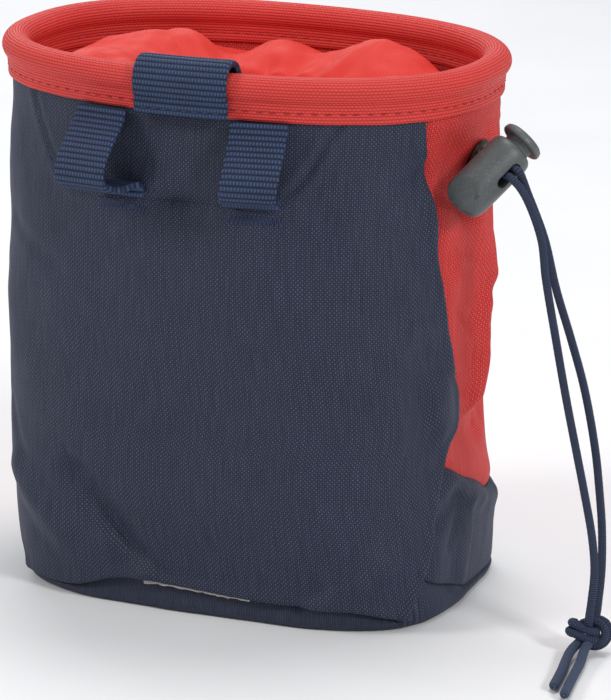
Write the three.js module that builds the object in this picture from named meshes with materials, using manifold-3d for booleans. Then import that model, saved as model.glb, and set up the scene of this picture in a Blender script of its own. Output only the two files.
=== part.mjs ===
// A climbing chalk bag: cloth body, padded rim, gathered closure, belt loops, cord and cord lock.
// Millimetres, +Z up. The floor is z = 0 and the wearer's side faces -Y.
import * as THREE from 'three';
import { mergeVertices } from 'three/addons/utils/BufferGeometryUtils.js';
import Module from 'manifold-3d';

const wasm = await Module();
wasm.setup();

// Driving dimensions
const bagHeight = 143;
const mouthWidth = 124.2;
const mouthDepth = 91;
const baseWidth = 116.4;
const baseDepth = 82;
const clothWall = 2;
const seamGap = 0.4;
const clearance = 0.3;

const foldFade = 7;
const rimTube = 7;
const bandWall = 1.2;
const bandDrop = 5;
const rimFallToRight = 0.013;
const rimFallToBack = 0.007;

const baseRound = 2.2;

const collarWall = 1.2;
const collarHoleWidth = 40;
const collarHoleDepth = 24;
const collarPuff = 8;
const collarThroat = 26;

const webbingWall = 1.5;
const tabWidth = 25;
const tabAcross = 1.1;
const tabOutsideDrop = 6.2;
const tabInsideDrop = 3.6;
const tabSlack = 1.3;
const loopWidth = 14.5;
const loopLength = 21.5;
const loopSlack = 0.4;
const tabToLeftLoop = 2.85;
const leftLoopSkew = 5.5;
const leftLoopReach = 11.2;
const tabToRightLoop = 0.6;
const rightLoopSkew = -1.6;
const rightLoopReach = 8.4;

const labelWidth = 29;
const labelAcross = 1.5;
const labelHeight = 2.2;
const labelWall = 0.5;

const cordDiameter = 2;
const cordSides = 8;
const knotLength = 11.5;
const knotWidth = 8.4;

const eyeletDrop = 15;
const eyeletAngle = -3;
const eyeletFlange = 7;
const eyeletBackFlange = 5.4;
const eyeletSheet = 0.8;
const eyeletBarrelWall = 0.6;
const eyeletBore = 2 * cordDiameter + 3 * clearance + 0.5;

const lockDiameter = 11.4;
const lockLength = 20.5;
const lockHoleAlong = 14.8;
const lockFromEyelet = new THREE.Vector3(9.654, -11.831, 3.874);
const lockAxis = new THREE.Vector3(0.514, 0.578, 0.634);
const lockCordWay = new THREE.Vector3(0.75, -0.62, -0.24);
const lockBoreFloor = 4;
const buttonShaft = 7.2;
const buttonHead = 11.2;
const buttonHeadHeight = 2.5;
const buttonTravel = 1.5;
const buttonRest = 1.6;
const buttonFoot = 2.4;

// Heights that follow from the sizes above
const rimHeight = bagHeight - rimTube / 2;
const bandFoot = rimHeight - rimTube / 2 - bandDrop;
const rimEntry = bandFoot - 0.7;
const panelTop = rimHeight - rimTube / 2 - clearance - bandWall;
const eyeletHeight = bandFoot - eyeletDrop;

// Places of the belt loops, beside the tab
const leftLoopAcross = tabAcross - (tabWidth + loopWidth) / 2 - tabToLeftLoop;
const rightLoopAcross = tabAcross + (tabWidth + loopWidth) / 2 + tabToRightLoop;

// Columns and rows of the cloth pieces
const frontColumns = 20;
const sideColumns = 30;
const lowerRows = 5;
const upperRows = 11;

// Outline of the body by height. height: share of the rim's foot; width and depth: share of the straight
// line from base to mouth; corner: power of the rounded oblong; across and back: centre, share of the mouth
const bodySections = [
  { height: 0.00, width: 1.000, depth: 1.000, corner: 3.65, across: 0.011, back: 0.009 },
  { height: 0.075, width: 1.013, depth: 1.020, corner: 3.65, across: 0.004, back: 0.006 },
  { height: 0.165, width: 1.017, depth: 1.034, corner: 3.50, across: -0.002, back: 0.002 },
  { height: 0.265, width: 1.008, depth: 1.037, corner: 3.30, across: -0.012, back: 0 },
  { height: 0.38, width: 1.000, depth: 1.034, corner: 3.15, across: -0.016, back: 0 },
  { height: 0.47, width: 1.006, depth: 1.035, corner: 3.00, across: -0.013, back: 0 },
  { height: 0.68, width: 1.010, depth: 1.022, corner: 2.70, across: -0.009, back: 0 },
  { height: 0.87, width: 0.998, depth: 1.010, corner: 2.45, across: -0.005, back: 0 },
  { height: 1.00, width: 1.000, depth: 1.000, corner: 2.34, across: 0, back: 0 },
];

// Corner seams of the wearer's panel. height: share of the panel top; angle: degrees from +X
const rightSeam = [
  { height: 0.00, angle: -32 },
  { height: 0.03, angle: -30 },
  { height: 0.11, angle: -25.4 },
  { height: 0.16, angle: -22 },
  { height: 0.23, angle: -19.4 },
  { height: 0.31, angle: -15 },
  { height: 0.385, angle: -9.2 },
  { height: 0.47, angle: -11.7 },
  { height: 0.56, angle: -16.2 },
  { height: 0.75, angle: -20.5 },
  { height: 0.89, angle: -23.4 },
  { height: 1.05, angle: -25.8 },
];
const leftSeam = [
  { height: 0.00, angle: -149 },
  { height: 0.11, angle: -155 },
  { height: 0.23, angle: -162 },
  { height: 0.385, angle: -168 },
  { height: 0.56, angle: -166 },
  { height: 0.75, angle: -163 },
  { height: 0.89, angle: -160 },
  { height: 1.05, angle: -157.5 },
];

// Top edge of the lower band of cloth, round the sides and the far side, share of the panel top
const lowerBandTop = [
  { angle: -40, height: 0.33 },
  { angle: -15, height: 0.307 },
  { angle: -9, height: 0.282 },
  { angle: -2, height: 0.252 },
  { angle: 5, height: 0.23 },
  { angle: 10, height: 0.211 },
  { angle: 15, height: 0.19 },
  { angle: 30, height: 0.184 },
  { angle: 150, height: 0.184 },
  { angle: 167, height: 0.21 },
  { angle: 182, height: 0.255 },
  { angle: 196, height: 0.31 },
  { angle: 220, height: 0.33 },
];

// Top edge of the base, share of the panel top
const baseEdgeFront = [
  { angle: -152, height: 0.024 },
  { angle: -138, height: 0.026 },
  { angle: -130, height: 0.033 },
  { angle: -123, height: 0.049 },
  { angle: -118, height: 0.06 },
  { angle: -108, height: 0.067 },
  { angle: -88, height: 0.061 },
  { angle: -69, height: 0.055 },
  { angle: -50, height: 0.053 },
  { angle: -41, height: 0.045 },
  { angle: -32, height: 0.029 },
  { angle: -26, height: 0.029 },
];
const baseEdgeSides = [
  { angle: -32, height: 0.03 },
  { angle: -30, height: 0.032 },
  { angle: -25, height: 0.086 },
  { angle: -18, height: 0.072 },
  { angle: -9, height: 0.049 },
  { angle: -4, height: 0.034 },
  { angle: 4, height: 0.026 },
  { angle: 30, height: 0.026 },
  { angle: 60, height: 0.038 },
  { angle: 120, height: 0.038 },
  { angle: 150, height: 0.03 },
  { angle: 180, height: 0.03 },
  { angle: 195, height: 0.048 },
  { angle: 205, height: 0.05 },
  { angle: 212, height: 0.026 },
];

// Folds and dents of the cloth. Each runs from one angle and height to another; heights are shares of the
// panel top, breadth and out shares of the base depth, out negative where the cloth sinks in
const folds = [
  // wearer's panel
  { fromAngle: -34, fromHeight: 0.775, toAngle: -15, toHeight: 0.70, breadth: 0.10, out: -0.016 },
  { fromAngle: -17, fromHeight: 0.45, toAngle: -13, toHeight: 0.38, breadth: 0.085, out: 0.03 },
  { fromAngle: -24, fromHeight: 0.52, toAngle: -21, toHeight: 0.36, breadth: 0.085, out: -0.02 },
  { fromAngle: -146, fromHeight: 0.23, toAngle: -133, toHeight: 0.135, breadth: 0.085, out: 0.022 },
  { fromAngle: -126, fromHeight: 0.25, toAngle: -111, toHeight: 0.11, breadth: 0.085, out: -0.03 },
  { fromAngle: -118, fromHeight: 0.13, toAngle: -108, toHeight: 0.08, breadth: 0.07, out: 0.018 },
  { fromAngle: -50, fromHeight: 0.05, toAngle: -36, toHeight: 0.13, breadth: 0.07, out: 0.018 },
  { fromAngle: -100, fromHeight: 0.84, toAngle: -86, toHeight: 0.93, breadth: 0.085, out: 0.012 },
  { fromAngle: -102, fromHeight: 0.815, toAngle: -72, toHeight: 0.84, breadth: 0.06, out: -0.012 },
  // right side
  { fromAngle: -2, fromHeight: 0.76, toAngle: 5, toHeight: 0.64, breadth: 0.08, out: 0.034 },
  { fromAngle: 4, fromHeight: 0.58, toAngle: 6, toHeight: 0.40, breadth: 0.075, out: 0.03 },
  { fromAngle: 14, fromHeight: 0.75, toAngle: 14, toHeight: 0.55, breadth: 0.085, out: -0.03 },
  { fromAngle: 14, fromHeight: 0.50, toAngle: 18, toHeight: 0.34, breadth: 0.085, out: -0.03 },
  { fromAngle: -23, fromHeight: 0.88, toAngle: -8, toHeight: 0.80, breadth: 0.07, out: -0.03 },
  { fromAngle: -17, fromHeight: 0.95, toAngle: -13, toHeight: 0.87, breadth: 0.09, out: -0.026 },
  { fromAngle: 6, fromHeight: 0.90, toAngle: 6, toHeight: 0.84, breadth: 0.085, out: 0.018 },
  { fromAngle: -4, fromHeight: 0.36, toAngle: 10, toHeight: 0.32, breadth: 0.08, out: -0.022 },
  { fromAngle: -9, fromHeight: 0.255, toAngle: 6, toHeight: 0.19, breadth: 0.07, out: 0.022 },
  { fromAngle: -18, fromHeight: 0.19, toAngle: -9, toHeight: 0.215, breadth: 0.05, out: -0.018 },
  { fromAngle: -3, fromHeight: 0.17, toAngle: -7, toHeight: 0.06, breadth: 0.07, out: 0.018 },
  // left side and far side
  { fromAngle: 187, fromHeight: 0.74, toAngle: 178, toHeight: 0.42, breadth: 0.10, out: 0.024 },
  { fromAngle: 168, fromHeight: 0.68, toAngle: 169, toHeight: 0.40, breadth: 0.10, out: -0.024 },
  { fromAngle: 118, fromHeight: 0.60, toAngle: 98, toHeight: 0.42, breadth: 0.14, out: -0.022 },
  { fromAngle: 66, fromHeight: 0.78, toAngle: 84, toHeight: 0.58, breadth: 0.12, out: 0.018 },
  { fromAngle: 50, fromHeight: 0.46, toAngle: 62, toHeight: 0.30, breadth: 0.10, out: -0.02 },
];

// The closure from the rim to the gathered hem. inward: share of the way to the hem's outline;
// rise: share of the puff's height above the band, below 0 of the throat's depth
const collarPath = [
  { inward: 0.00, rise: -0.02 },
  { inward: 0.10, rise: 0.00 },
  { inward: 0.24, rise: 0.72 },
  { inward: 0.42, rise: 1.00 },
  { inward: 0.60, rise: 0.86 },
  { inward: 0.78, rise: 0.36 },
  { inward: 0.92, rise: -0.10 },
  { inward: 1.00, rise: -0.50 },
  { inward: 1.00, rise: -1.00 },
];
// How high each puff of the closure stands round the mouth, share of the puff's height
const collarPuffs = [
  { angle: -180, rise: 0.70 },
  { angle: -155, rise: 0.95 },
  { angle: -130, rise: 0.35 },
  { angle: -105, rise: 0.75 },
  { angle: -80, rise: 0.40 },
  { angle: -58, rise: 1.05 },
  { angle: -30, rise: 0.55 },
  { angle: -8, rise: 0.90 },
  { angle: 20, rise: 0.25 },
  { angle: 50, rise: 1.15 },
  { angle: 78, rise: 0.45 },
  { angle: 100, rise: 0.70 },
  { angle: 118, rise: 0.15 },
  { angle: 140, rise: 0.95 },
  { angle: 180, rise: 0.70 },
];

// Belt loop from its top end to the tack. along: share of the loop's length below the band;
// out: share of the loop's reach; across: share of its skew
const loopPath = [
  { along: 0.00, out: 0.00, across: 0.00 },
  { along: 0.12, out: 0.13, across: 0.02 },
  { along: 0.30, out: 0.46, across: 0.06 },
  { along: 0.48, out: 0.78, across: 0.10 },
  { along: 0.64, out: 0.97, across: 0.16 },
  { along: 0.76, out: 1.00, across: 0.25 },
  { along: 0.84, out: 0.84, across: 0.42 },
  { along: 0.865, out: 0.58, across: 0.62 },
  { along: 0.845, out: 0.30, across: 0.82 },
  { along: 0.85, out: 0.10, across: 0.95 },
  { along: 0.90, out: 0.00, across: 1.00 },
  { along: 1.00, out: 0.00, across: 1.00 },
];

// Routes of the two strands after the lock, and of the two tails on the floor
const strandARoute = [
  [79.8, -19.8, 113.8], [84.2, -19.3, 103.0], [85.9, -19.9, 92.9], [89.1, -20.8, 78.2], [92.4, -21.8, 63.8],
  [95.6, -22.7, 51.0], [98.1, -23.5, 41.2], [101.0, -24.7, 29.1], [102.2, -26.1, 21.2], [102.2, -27.7, 14.5],
  [101.8, -28.4, 9.05],
];
const strandBRoute = [
  [79.5, -16.2, 113.1], [83.9, -15.7, 102.0], [87.3, -16.0, 89.6], [91.5, -16.2, 77.3], [95.4, -16.7, 65.2],
  [98.9, -17.8, 50.5], [100.7, -19.0, 40.0], [102.1, -20.5, 30.4], [102.8, -22.2, 20.8], [102.8, -23.9, 14.0],
  [102.4, -25.0, 8.85],
];
const knotPlace = new THREE.Vector3(101.2, -26.6, 4.6);
const tailRoutes = {
  cord_tail_left: [[98.8, -32.05, 2.4], [99.2, -37.5, 1.7], [100.6, -45.5, 1.6], [102.2, -56.6, 1.6]],
  cord_tail_right: [[102.0, -31.95, 2.65], [103.1, -38.5, 1.7], [104.4, -48.0, 1.6], [106.4, -61.0, 1.6]],
};

const group = new THREE.Group();
group.name = 'climbing_chalk_bag';

const navyCloth = { color: 0x2a2f45, roughness: 0.85, metalness: 0 };
const redCloth = { color: 0xd6423a, roughness: 0.8, metalness: 0 };
const collarCloth = { color: 0xe04a34, roughness: 0.7, metalness: 0 };
const navyWebbing = { color: 0x2c4466, roughness: 0.8, metalness: 0 };
const paleLabel = { color: 0xc9c6c0, roughness: 0.8, metalness: 0 };
const darkMetal = { color: 0x4a4642, roughness: 0.3, metalness: 1 };
const greyPlastic = { color: 0x565b5d, roughness: 0.5, metalness: 0 };
const navyCord = { color: 0x2b3654, roughness: 0.85, metalness: 0 };

function addPiece(name, geometry, finish) {
  const mesh = new THREE.Mesh(geometry, new THREE.MeshStandardMaterial(finish));
  mesh.name = name;
  group.add(mesh);
  return mesh;
}

// Smooth value of one column of a table at a place along another column
function tableValue(table, along, column, at) {
  const last = table.length - 1;
  if (at <= table[0][along]) return table[0][column];
  if (at >= table[last][along]) return table[last][column];
  let row = 0;
  while (table[row + 1][along] < at) row += 1;
  const [a, b] = [table[row], table[row + 1]];
  const before = table[Math.max(row - 1, 0)];
  const after = table[Math.min(row + 2, last)];
  const span = b[along] - a[along];
  const t = (at - a[along]) / span;
  const slopeA = row === 0 ? 0 : ((b[column] - before[column]) / (b[along] - before[along])) * span;
  const slopeB = row + 1 === last ? 0 : ((after[column] - a[column]) / (after[along] - a[along])) * span;
  const t2 = t * t;
  const t3 = t2 * t;
  return a[column] * (2 * t3 - 3 * t2 + 1) + slopeA * (t3 - 2 * t2 + t)
    + b[column] * (3 * t2 - 2 * t3) + slopeB * (t3 - t2);
}

const radians = THREE.MathUtils.degToRad;

// Rounded oblong at a height: half sizes, power and centre of the cloth's outer face
function bodySection(height) {
  const share = THREE.MathUtils.clamp(height / rimEntry, 0, 1);
  const value = (column) => tableValue(bodySections, 'height', column, share);
  return {
    halfWidth: (THREE.MathUtils.lerp(baseWidth, mouthWidth + clothWall, share) / 2) * value('width'),
    halfDepth: (THREE.MathUtils.lerp(baseDepth, mouthDepth + clothWall, share) / 2) * value('depth'),
    corner: value('corner'),
    across: mouthWidth * value('across'),
    back: mouthDepth * value('back'),
  };
}

// How far the folds push the cloth out at an angle and height. They fade out under the rim, which holds
// the cloth to its outline
function foldOut(angle, height) {
  const held = THREE.MathUtils.smoothstep(height, rimEntry - foldFade, rimEntry);
  const perDegree = radians(1) * (baseWidth + baseDepth) / 4;
  let total = 0;
  for (const fold of folds) {
    const turn = ((angle - fold.fromAngle + 540) % 360) - 180;
    const start = new THREE.Vector2(0, fold.fromHeight * panelTop);
    const end = new THREE.Vector2((fold.toAngle - fold.fromAngle) * perDegree, fold.toHeight * panelTop);
    const point = new THREE.Vector2(turn * perDegree, height);
    const run = end.clone().sub(start);
    const share = THREE.MathUtils.clamp(point.clone().sub(start).dot(run) / run.lengthSq(), 0, 1);
    const distance = point.distanceTo(start.clone().addScaledVector(run, share));
    const reach = distance / (fold.breadth * baseDepth);
    if (reach < 1) total += fold.out * baseDepth * Math.cos((Math.PI / 2) * reach) ** 2;
  }
  return total * (1 - held);
}

// Point of the cloth's outer face, moved out along the outline's normal by offset
function bodyPoint(angle, height, offset = 0, creased = true) {
  const { halfWidth, halfDepth, corner, across, back } = bodySection(height);
  const direction = new THREE.Vector2(Math.cos(radians(angle)), Math.sin(radians(angle)));
  const size = (Math.abs(direction.x / halfWidth) ** corner
    + Math.abs(direction.y / halfDepth) ** corner) ** (-1 / corner);
  const flat = direction.clone().multiplyScalar(size);
  const normal = new THREE.Vector2(
    (Math.sign(flat.x) * Math.abs(flat.x / halfWidth) ** (corner - 1)) / halfWidth,
    (Math.sign(flat.y) * Math.abs(flat.y / halfDepth) ** (corner - 1)) / halfDepth,
  ).normalize();
  flat.addScaledVector(normal, offset + (creased ? foldOut(angle, height) : 0));
  const x = flat.x + across;
  const y = flat.y + back;
  const lean = (height / panelTop) * (rimFallToRight * x + rimFallToBack * y);
  return new THREE.Vector3(x, y, height - lean);
}

// Angles that divide a stretch of the outline into equal lengths
function dividedAngles(fromAngle, toAngle, height, count) {
  const fine = 48;
  const lengths = [0];
  let previous = bodyPoint(fromAngle, height, 0, false);
  for (let i = 1; i <= fine; i += 1) {
    const point = bodyPoint(fromAngle + ((toAngle - fromAngle) * i) / fine, height, 0, false);
    lengths.push(lengths[i - 1] + point.distanceTo(previous));
    previous = point;
  }
  const angles = [];
  let cell = 0;
  for (let i = 0; i <= count; i += 1) {
    const target = (lengths[fine] * i) / count;
    while (cell < fine - 1 && lengths[cell + 1] < target) cell += 1;
    const share = (target - lengths[cell]) / (lengths[cell + 1] - lengths[cell]);
    angles.push(fromAngle + ((toAngle - fromAngle) * (cell + share)) / fine);
  }
  return angles;
}

// Angle that half of a seam's gap takes up on the outline
function gapAngle(angle, height) {
  const before = bodyPoint(angle - 0.5, height, 0, false);
  const after = bodyPoint(angle + 0.5, height, 0, false);
  return seamGap / 2 / before.distanceTo(after);
}

function frontAngles(height) {
  const left = tableValue(leftSeam, 'height', 'angle', height / panelTop);
  const right = tableValue(rightSeam, 'height', 'angle', height / panelTop);
  return dividedAngles(left + gapAngle(left, height), right - gapAngle(right, height), height, frontColumns);
}

function sideAngles(height) {
  const left = tableValue(leftSeam, 'height', 'angle', height / panelTop) + 360;
  const right = tableValue(rightSeam, 'height', 'angle', height / panelTop);
  return dividedAngles(right + gapAngle(right, height), left - gapAngle(left, height), height, sideColumns);
}

// Height of an edge at one column, where the edge's height and the column's angle depend on each other
function edgeHeight(table, anglesAt, column) {
  let height = table[0].height * panelTop;
  for (let i = 0; i < 5; i += 1) {
    height = tableValue(table, 'angle', 'height', anglesAt(height)[column]) * panelTop;
  }
  return height;
}

function edgeHeights(table, anglesAt, columns) {
  return Array.from({ length: columns + 1 }, (_, column) => edgeHeight(table, anglesAt, column));
}

function meshGeometry(points, faces) {
  const geometry = new THREE.BufferGeometry();
  geometry.setAttribute('position', new THREE.Float32BufferAttribute(points.flatMap((p) => p.toArray()), 3));
  geometry.setIndex(faces.flat());
  return geometry;
}

// Closed sheet of cloth from two grids of points. Rows run upwards, columns anticlockwise from above;
// a ring joins its last column to its first
function sheetGeometry(outer, inner, ring = false) {
  const rows = outer.length;
  const columns = outer[0].length;
  const points = [...outer.flat(), ...inner.flat()];
  const out = (row, column) => row * columns + (column % columns);
  const back = (row, column) => rows * columns + out(row, column);
  const faces = [];
  const quad = (a, b, c, d) => faces.push([a, b, c], [a, c, d]);
  const cells = ring ? columns : columns - 1;
  const last = rows - 1;
  for (let row = 0; row < rows - 1; row += 1) {
    for (let column = 0; column < cells; column += 1) {
      quad(out(row, column), out(row, column + 1), out(row + 1, column + 1), out(row + 1, column));
      quad(back(row, column), back(row + 1, column), back(row + 1, column + 1), back(row, column + 1));
    }
    if (!ring) {
      quad(back(row, 0), out(row, 0), out(row + 1, 0), back(row + 1, 0));
      quad(out(row, cells), back(row, cells), back(row + 1, cells), out(row + 1, cells));
    }
  }
  for (let column = 0; column < cells; column += 1) {
    quad(back(0, column), back(0, column + 1), out(0, column + 1), out(0, column));
    quad(out(last, column), out(last, column + 1), back(last, column + 1), back(last, column));
  }
  return meshGeometry(points, faces);
}

// Rows that divide the way from one edge to another, each edge a height for every column
function dividedRows(bottoms, tops, count) {
  return Array.from({ length: count + 1 }, (_, row) =>
    bottoms.map((bottom, column) => THREE.MathUtils.lerp(bottom, tops[column], row / count)));
}

// Panel of the body from its rows of heights
function panelGeometry(anglesAt, rows) {
  const outer = [];
  const inner = [];
  for (const heights of rows) {
    const angles = heights.map((height, column) => anglesAt(height)[column]);
    outer.push(angles.map((angle, column) => bodyPoint(angle, heights[column])));
    inner.push(angles.map((angle, column) => bodyPoint(angle, heights[column], -clothWall)));
  }
  return sheetGeometry(outer, inner);
}

// Solid swept round the outline: rings of points, each ring's list of { out, height } closes on itself
function sweptGeometry(angles, profile, closed) {
  const points = [];
  const faces = [];
  const count = profile.length;
  for (const angle of angles) {
    for (const { out, height } of profile) {
      const foot = bodyPoint(angle, panelTop, out - clothWall / 2, false);
      points.push(foot.setZ(foot.z + height - panelTop));
    }
  }
  const cells = closed ? angles.length : angles.length - 1;
  for (let column = 0; column < cells; column += 1) {
    for (let i = 0; i < count; i += 1) {
      const a = column * count + i;
      const b = column * count + ((i + 1) % count);
      const next = (((column + 1) % angles.length) - column) * count;
      faces.push([a, a + next, b + next], [a, b + next, b]);
    }
  }
  if (!closed) {
    const flat = profile.map(({ out, height }) => new THREE.Vector2(out, height));
    const caps = THREE.ShapeUtils.triangulateShape(flat, []);
    const far = cells * count;
    for (const [a, b, c] of caps) faces.push([a, b, c], [far + c, far + b, far + a]);
  }
  return facingOut(meshGeometry(points, faces));
}

// Turns a closed mesh right side out
function facingOut(geometry) {
  const position = geometry.getAttribute('position');
  const index = geometry.getIndex().array;
  const corner = (i) => new THREE.Vector3().fromBufferAttribute(position, index[i]);
  let volume = 0;
  for (let i = 0; i < index.length; i += 3) {
    volume += corner(i).dot(corner(i + 1).cross(corner(i + 2)));
  }
  if (volume < 0) {
    for (let i = 0; i < index.length; i += 3) [index[i + 1], index[i + 2]] = [index[i + 2], index[i + 1]];
  }
  return geometry;
}

function toSolid(geometry) {
  const bare = geometry.clone();
  bare.deleteAttribute('normal');
  bare.deleteAttribute('uv');
  const merged = mergeVertices(bare, 1e-5);
  return new wasm.Manifold(new wasm.Mesh({
    numProp: 3,
    vertProperties: new Float32Array(merged.getAttribute('position').array),
    triVerts: new Uint32Array(merged.getIndex().array),
  }));
}

function toGeometry(solid) {
  const mesh = solid.getMesh();
  const geometry = new THREE.BufferGeometry();
  geometry.setAttribute('position', new THREE.Float32BufferAttribute(mesh.vertProperties, 3));
  geometry.setIndex(Array.from(mesh.triVerts));
  return geometry;
}

// Solid turned about Z from a closed list of [radius, height]
function turned(profile, sides) {
  const points = profile.map(([radius, height]) => new THREE.Vector2(radius, height));
  const lathe = new THREE.LatheGeometry(points, sides);
  lathe.rotateX(Math.PI / 2);
  return facingOut(mergeVertices(stripped(lathe), 1e-5));
}

function stripped(geometry) {
  geometry.deleteAttribute('normal');
  geometry.deleteAttribute('uv');
  return geometry;
}

// Cloth of the body
function addBody() {
  const frontBottoms = edgeHeights(baseEdgeFront, frontAngles, frontColumns);
  const sideBottoms = edgeHeights(baseEdgeSides, sideAngles, sideColumns);
  const bandTops = edgeHeights(lowerBandTop, sideAngles, sideColumns);
  const raised = (heights) => heights.map((height) => height + seamGap / 2);
  const lowered = (heights) => heights.map((height) => height - seamGap / 2);
  const level = (count, height) => Array(count + 1).fill(height);

  // The wearer's panel has its rows at the same heights as the two pieces that it is sewn to
  const [rightMiddle, leftMiddle] = [bandTops[0], bandTops[sideColumns]];
  const frontMiddles = frontBottoms.map((_, column) =>
    THREE.MathUtils.lerp(leftMiddle, rightMiddle, column / frontColumns));
  const frontRows = [
    ...dividedRows(raised(frontBottoms), frontMiddles, lowerRows),
    ...dividedRows(frontMiddles, level(frontColumns, rimEntry), upperRows).slice(1),
    level(frontColumns, panelTop),
  ];
  const lowerCloth = dividedRows(raised(sideBottoms), lowered(bandTops), lowerRows);
  const upperCloth = [
    ...dividedRows(raised(bandTops), level(sideColumns, rimEntry), upperRows),
    level(sideColumns, panelTop),
  ];
  addPiece('back_panel', panelGeometry(frontAngles, frontRows), navyCloth);
  addPiece('lower_panel', panelGeometry(sideAngles, lowerCloth), navyCloth);
  addPiece('red_panel', cutForEyelet(panelGeometry(sideAngles, upperCloth)), redCloth);
  addBase(lowered(frontBottoms), lowered(sideBottoms));
}

// Bottom of the bag: a flat floor with a rounded edge that rises to the panels
function addBase(frontTops, sideTops) {
  const columns = [
    ...frontTops.map((top, column) => ({ top, angle: frontAngles(top)[column] })),
    ...sideTops.map((top, column) => ({ top, angle: sideAngles(top)[column] })),
  ];
  const ring = (offset, heightOf) => columns.map((c) => bodyPoint(c.angle, heightOf(c.top), offset));
  const turnUp = (top, share) => Math.min(baseRound, top * 0.7) * share;
  const outer = [
    ring(-baseRound, () => 0),
    ring(-baseRound * 0.3, (top) => turnUp(top, 0.3)),
    ring(0, (top) => turnUp(top, 1)),
    ring(0, (top) => top),
  ];
  const inner = [
    ring(-clothWall, (top) => top),
    ring(-clothWall, (top) => Math.max(turnUp(top, 1), Math.min(clothWall * 1.1, top - 0.4))),
    ring(-clothWall - baseRound * 0.7, () => clothWall * 0.9),
  ];
  for (const point of outer[0]) point.setZ(0);
  for (const point of inner[2]) point.setZ(clothWall * 0.9);
  const rings = [...outer, ...inner];
  const count = columns.length;
  const middle = bodySection(0);
  const points = [...rings.flat(),
    new THREE.Vector3(middle.across, middle.back, 0),
    new THREE.Vector3(middle.across, middle.back, clothWall * 0.9)];
  const faces = [];
  for (let row = 0; row < rings.length - 1; row += 1) {
    for (let column = 0; column < count; column += 1) {
      const a = row * count + column;
      const b = row * count + ((column + 1) % count);
      faces.push([a, b, b + count], [a, b + count, a + count]);
    }
  }
  const lastRing = (rings.length - 1) * count;
  for (let column = 0; column < count; column += 1) {
    const next = (column + 1) % count;
    faces.push([points.length - 2, next, column]);
    faces.push([points.length - 1, lastRing + column, lastRing + next]);
  }
  addPiece('base', facingOut(meshGeometry(points, faces)), navyCloth);
}

// Rim: a round padded tube with a flat band down the outside and the inside, open below for the cloth
function addRim() {
  const half = rimTube / 2;
  const slot = clothWall / 2 + clearance;
  const band = slot + bandWall;
  const shoulder = Math.sqrt(half ** 2 - band ** 2);
  const profile = [
    { out: slot, height: bandFoot },
    { out: band, height: bandFoot },
    { out: band, height: rimHeight - shoulder },
  ];
  const startTurn = Math.atan2(-shoulder, band);
  const arcSteps = 8;
  for (let i = 1; i < arcSteps; i += 1) {
    const turn = startTurn + ((Math.PI - 2 * startTurn) * i) / arcSteps;
    profile.push({ out: half * Math.cos(turn), height: rimHeight + half * Math.sin(turn) });
  }
  profile.push(
    { out: -band, height: rimHeight - shoulder },
    { out: -band, height: bandFoot },
    { out: -slot, height: bandFoot },
    { out: -slot, height: panelTop + clearance },
    { out: slot, height: panelTop + clearance },
  );
  const angles = [...frontAngles(panelTop), ...sideAngles(panelTop)];
  addPiece('rim_binding', sweptGeometry(angles, profile, true), redCloth);
}

// Tab of webbing folded over the rim at the middle of the wearer's side
function addRimTab() {
  const inside = rimTube / 2 + clearance;
  const outside = inside + webbingWall;
  const innerFace = clothWall / 2 + 2 * clearance + bandWall;
  const outerFace = innerFace + webbingWall;
  const arc = (radius, face, steps) => {
    const start = Math.atan2(-Math.sqrt(radius ** 2 - face ** 2), face);
    return Array.from({ length: steps + 1 }, (_, i) => {
      const turn = start + ((Math.PI - 2 * start) * i) / steps;
      const rise = (radius + tabSlack) * Math.sin(turn);
      return { out: radius * Math.cos(turn), height: rimHeight + rise };
    });
  };
  const foot = rimHeight - rimTube / 2;
  const profile = [
    { out: innerFace, height: foot - tabOutsideDrop },
    { out: outerFace, height: foot - tabOutsideDrop },
    ...arc(outside, outerFace, 8),
    { out: -outerFace, height: foot - tabInsideDrop },
    { out: -innerFace, height: foot - tabInsideDrop },
    ...arc(inside, innerFace, 8).reverse(),
  ];
  const depth = bodySection(panelTop).halfDepth;
  const angleOf = (x) => THREE.MathUtils.radToDeg(Math.atan2(-depth, x));
  const steps = 4;
  const angles = Array.from({ length: steps + 1 }, (_, i) =>
    angleOf(tabAcross + tabWidth * (i / steps - 0.5)));
  addPiece('rim_tab', sweptGeometry(angles, profile, false), navyWebbing);
}

const collarSteps = collarPath.map((row, i) => ({ ...row, at: i / (collarPath.length - 1) }));

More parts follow.
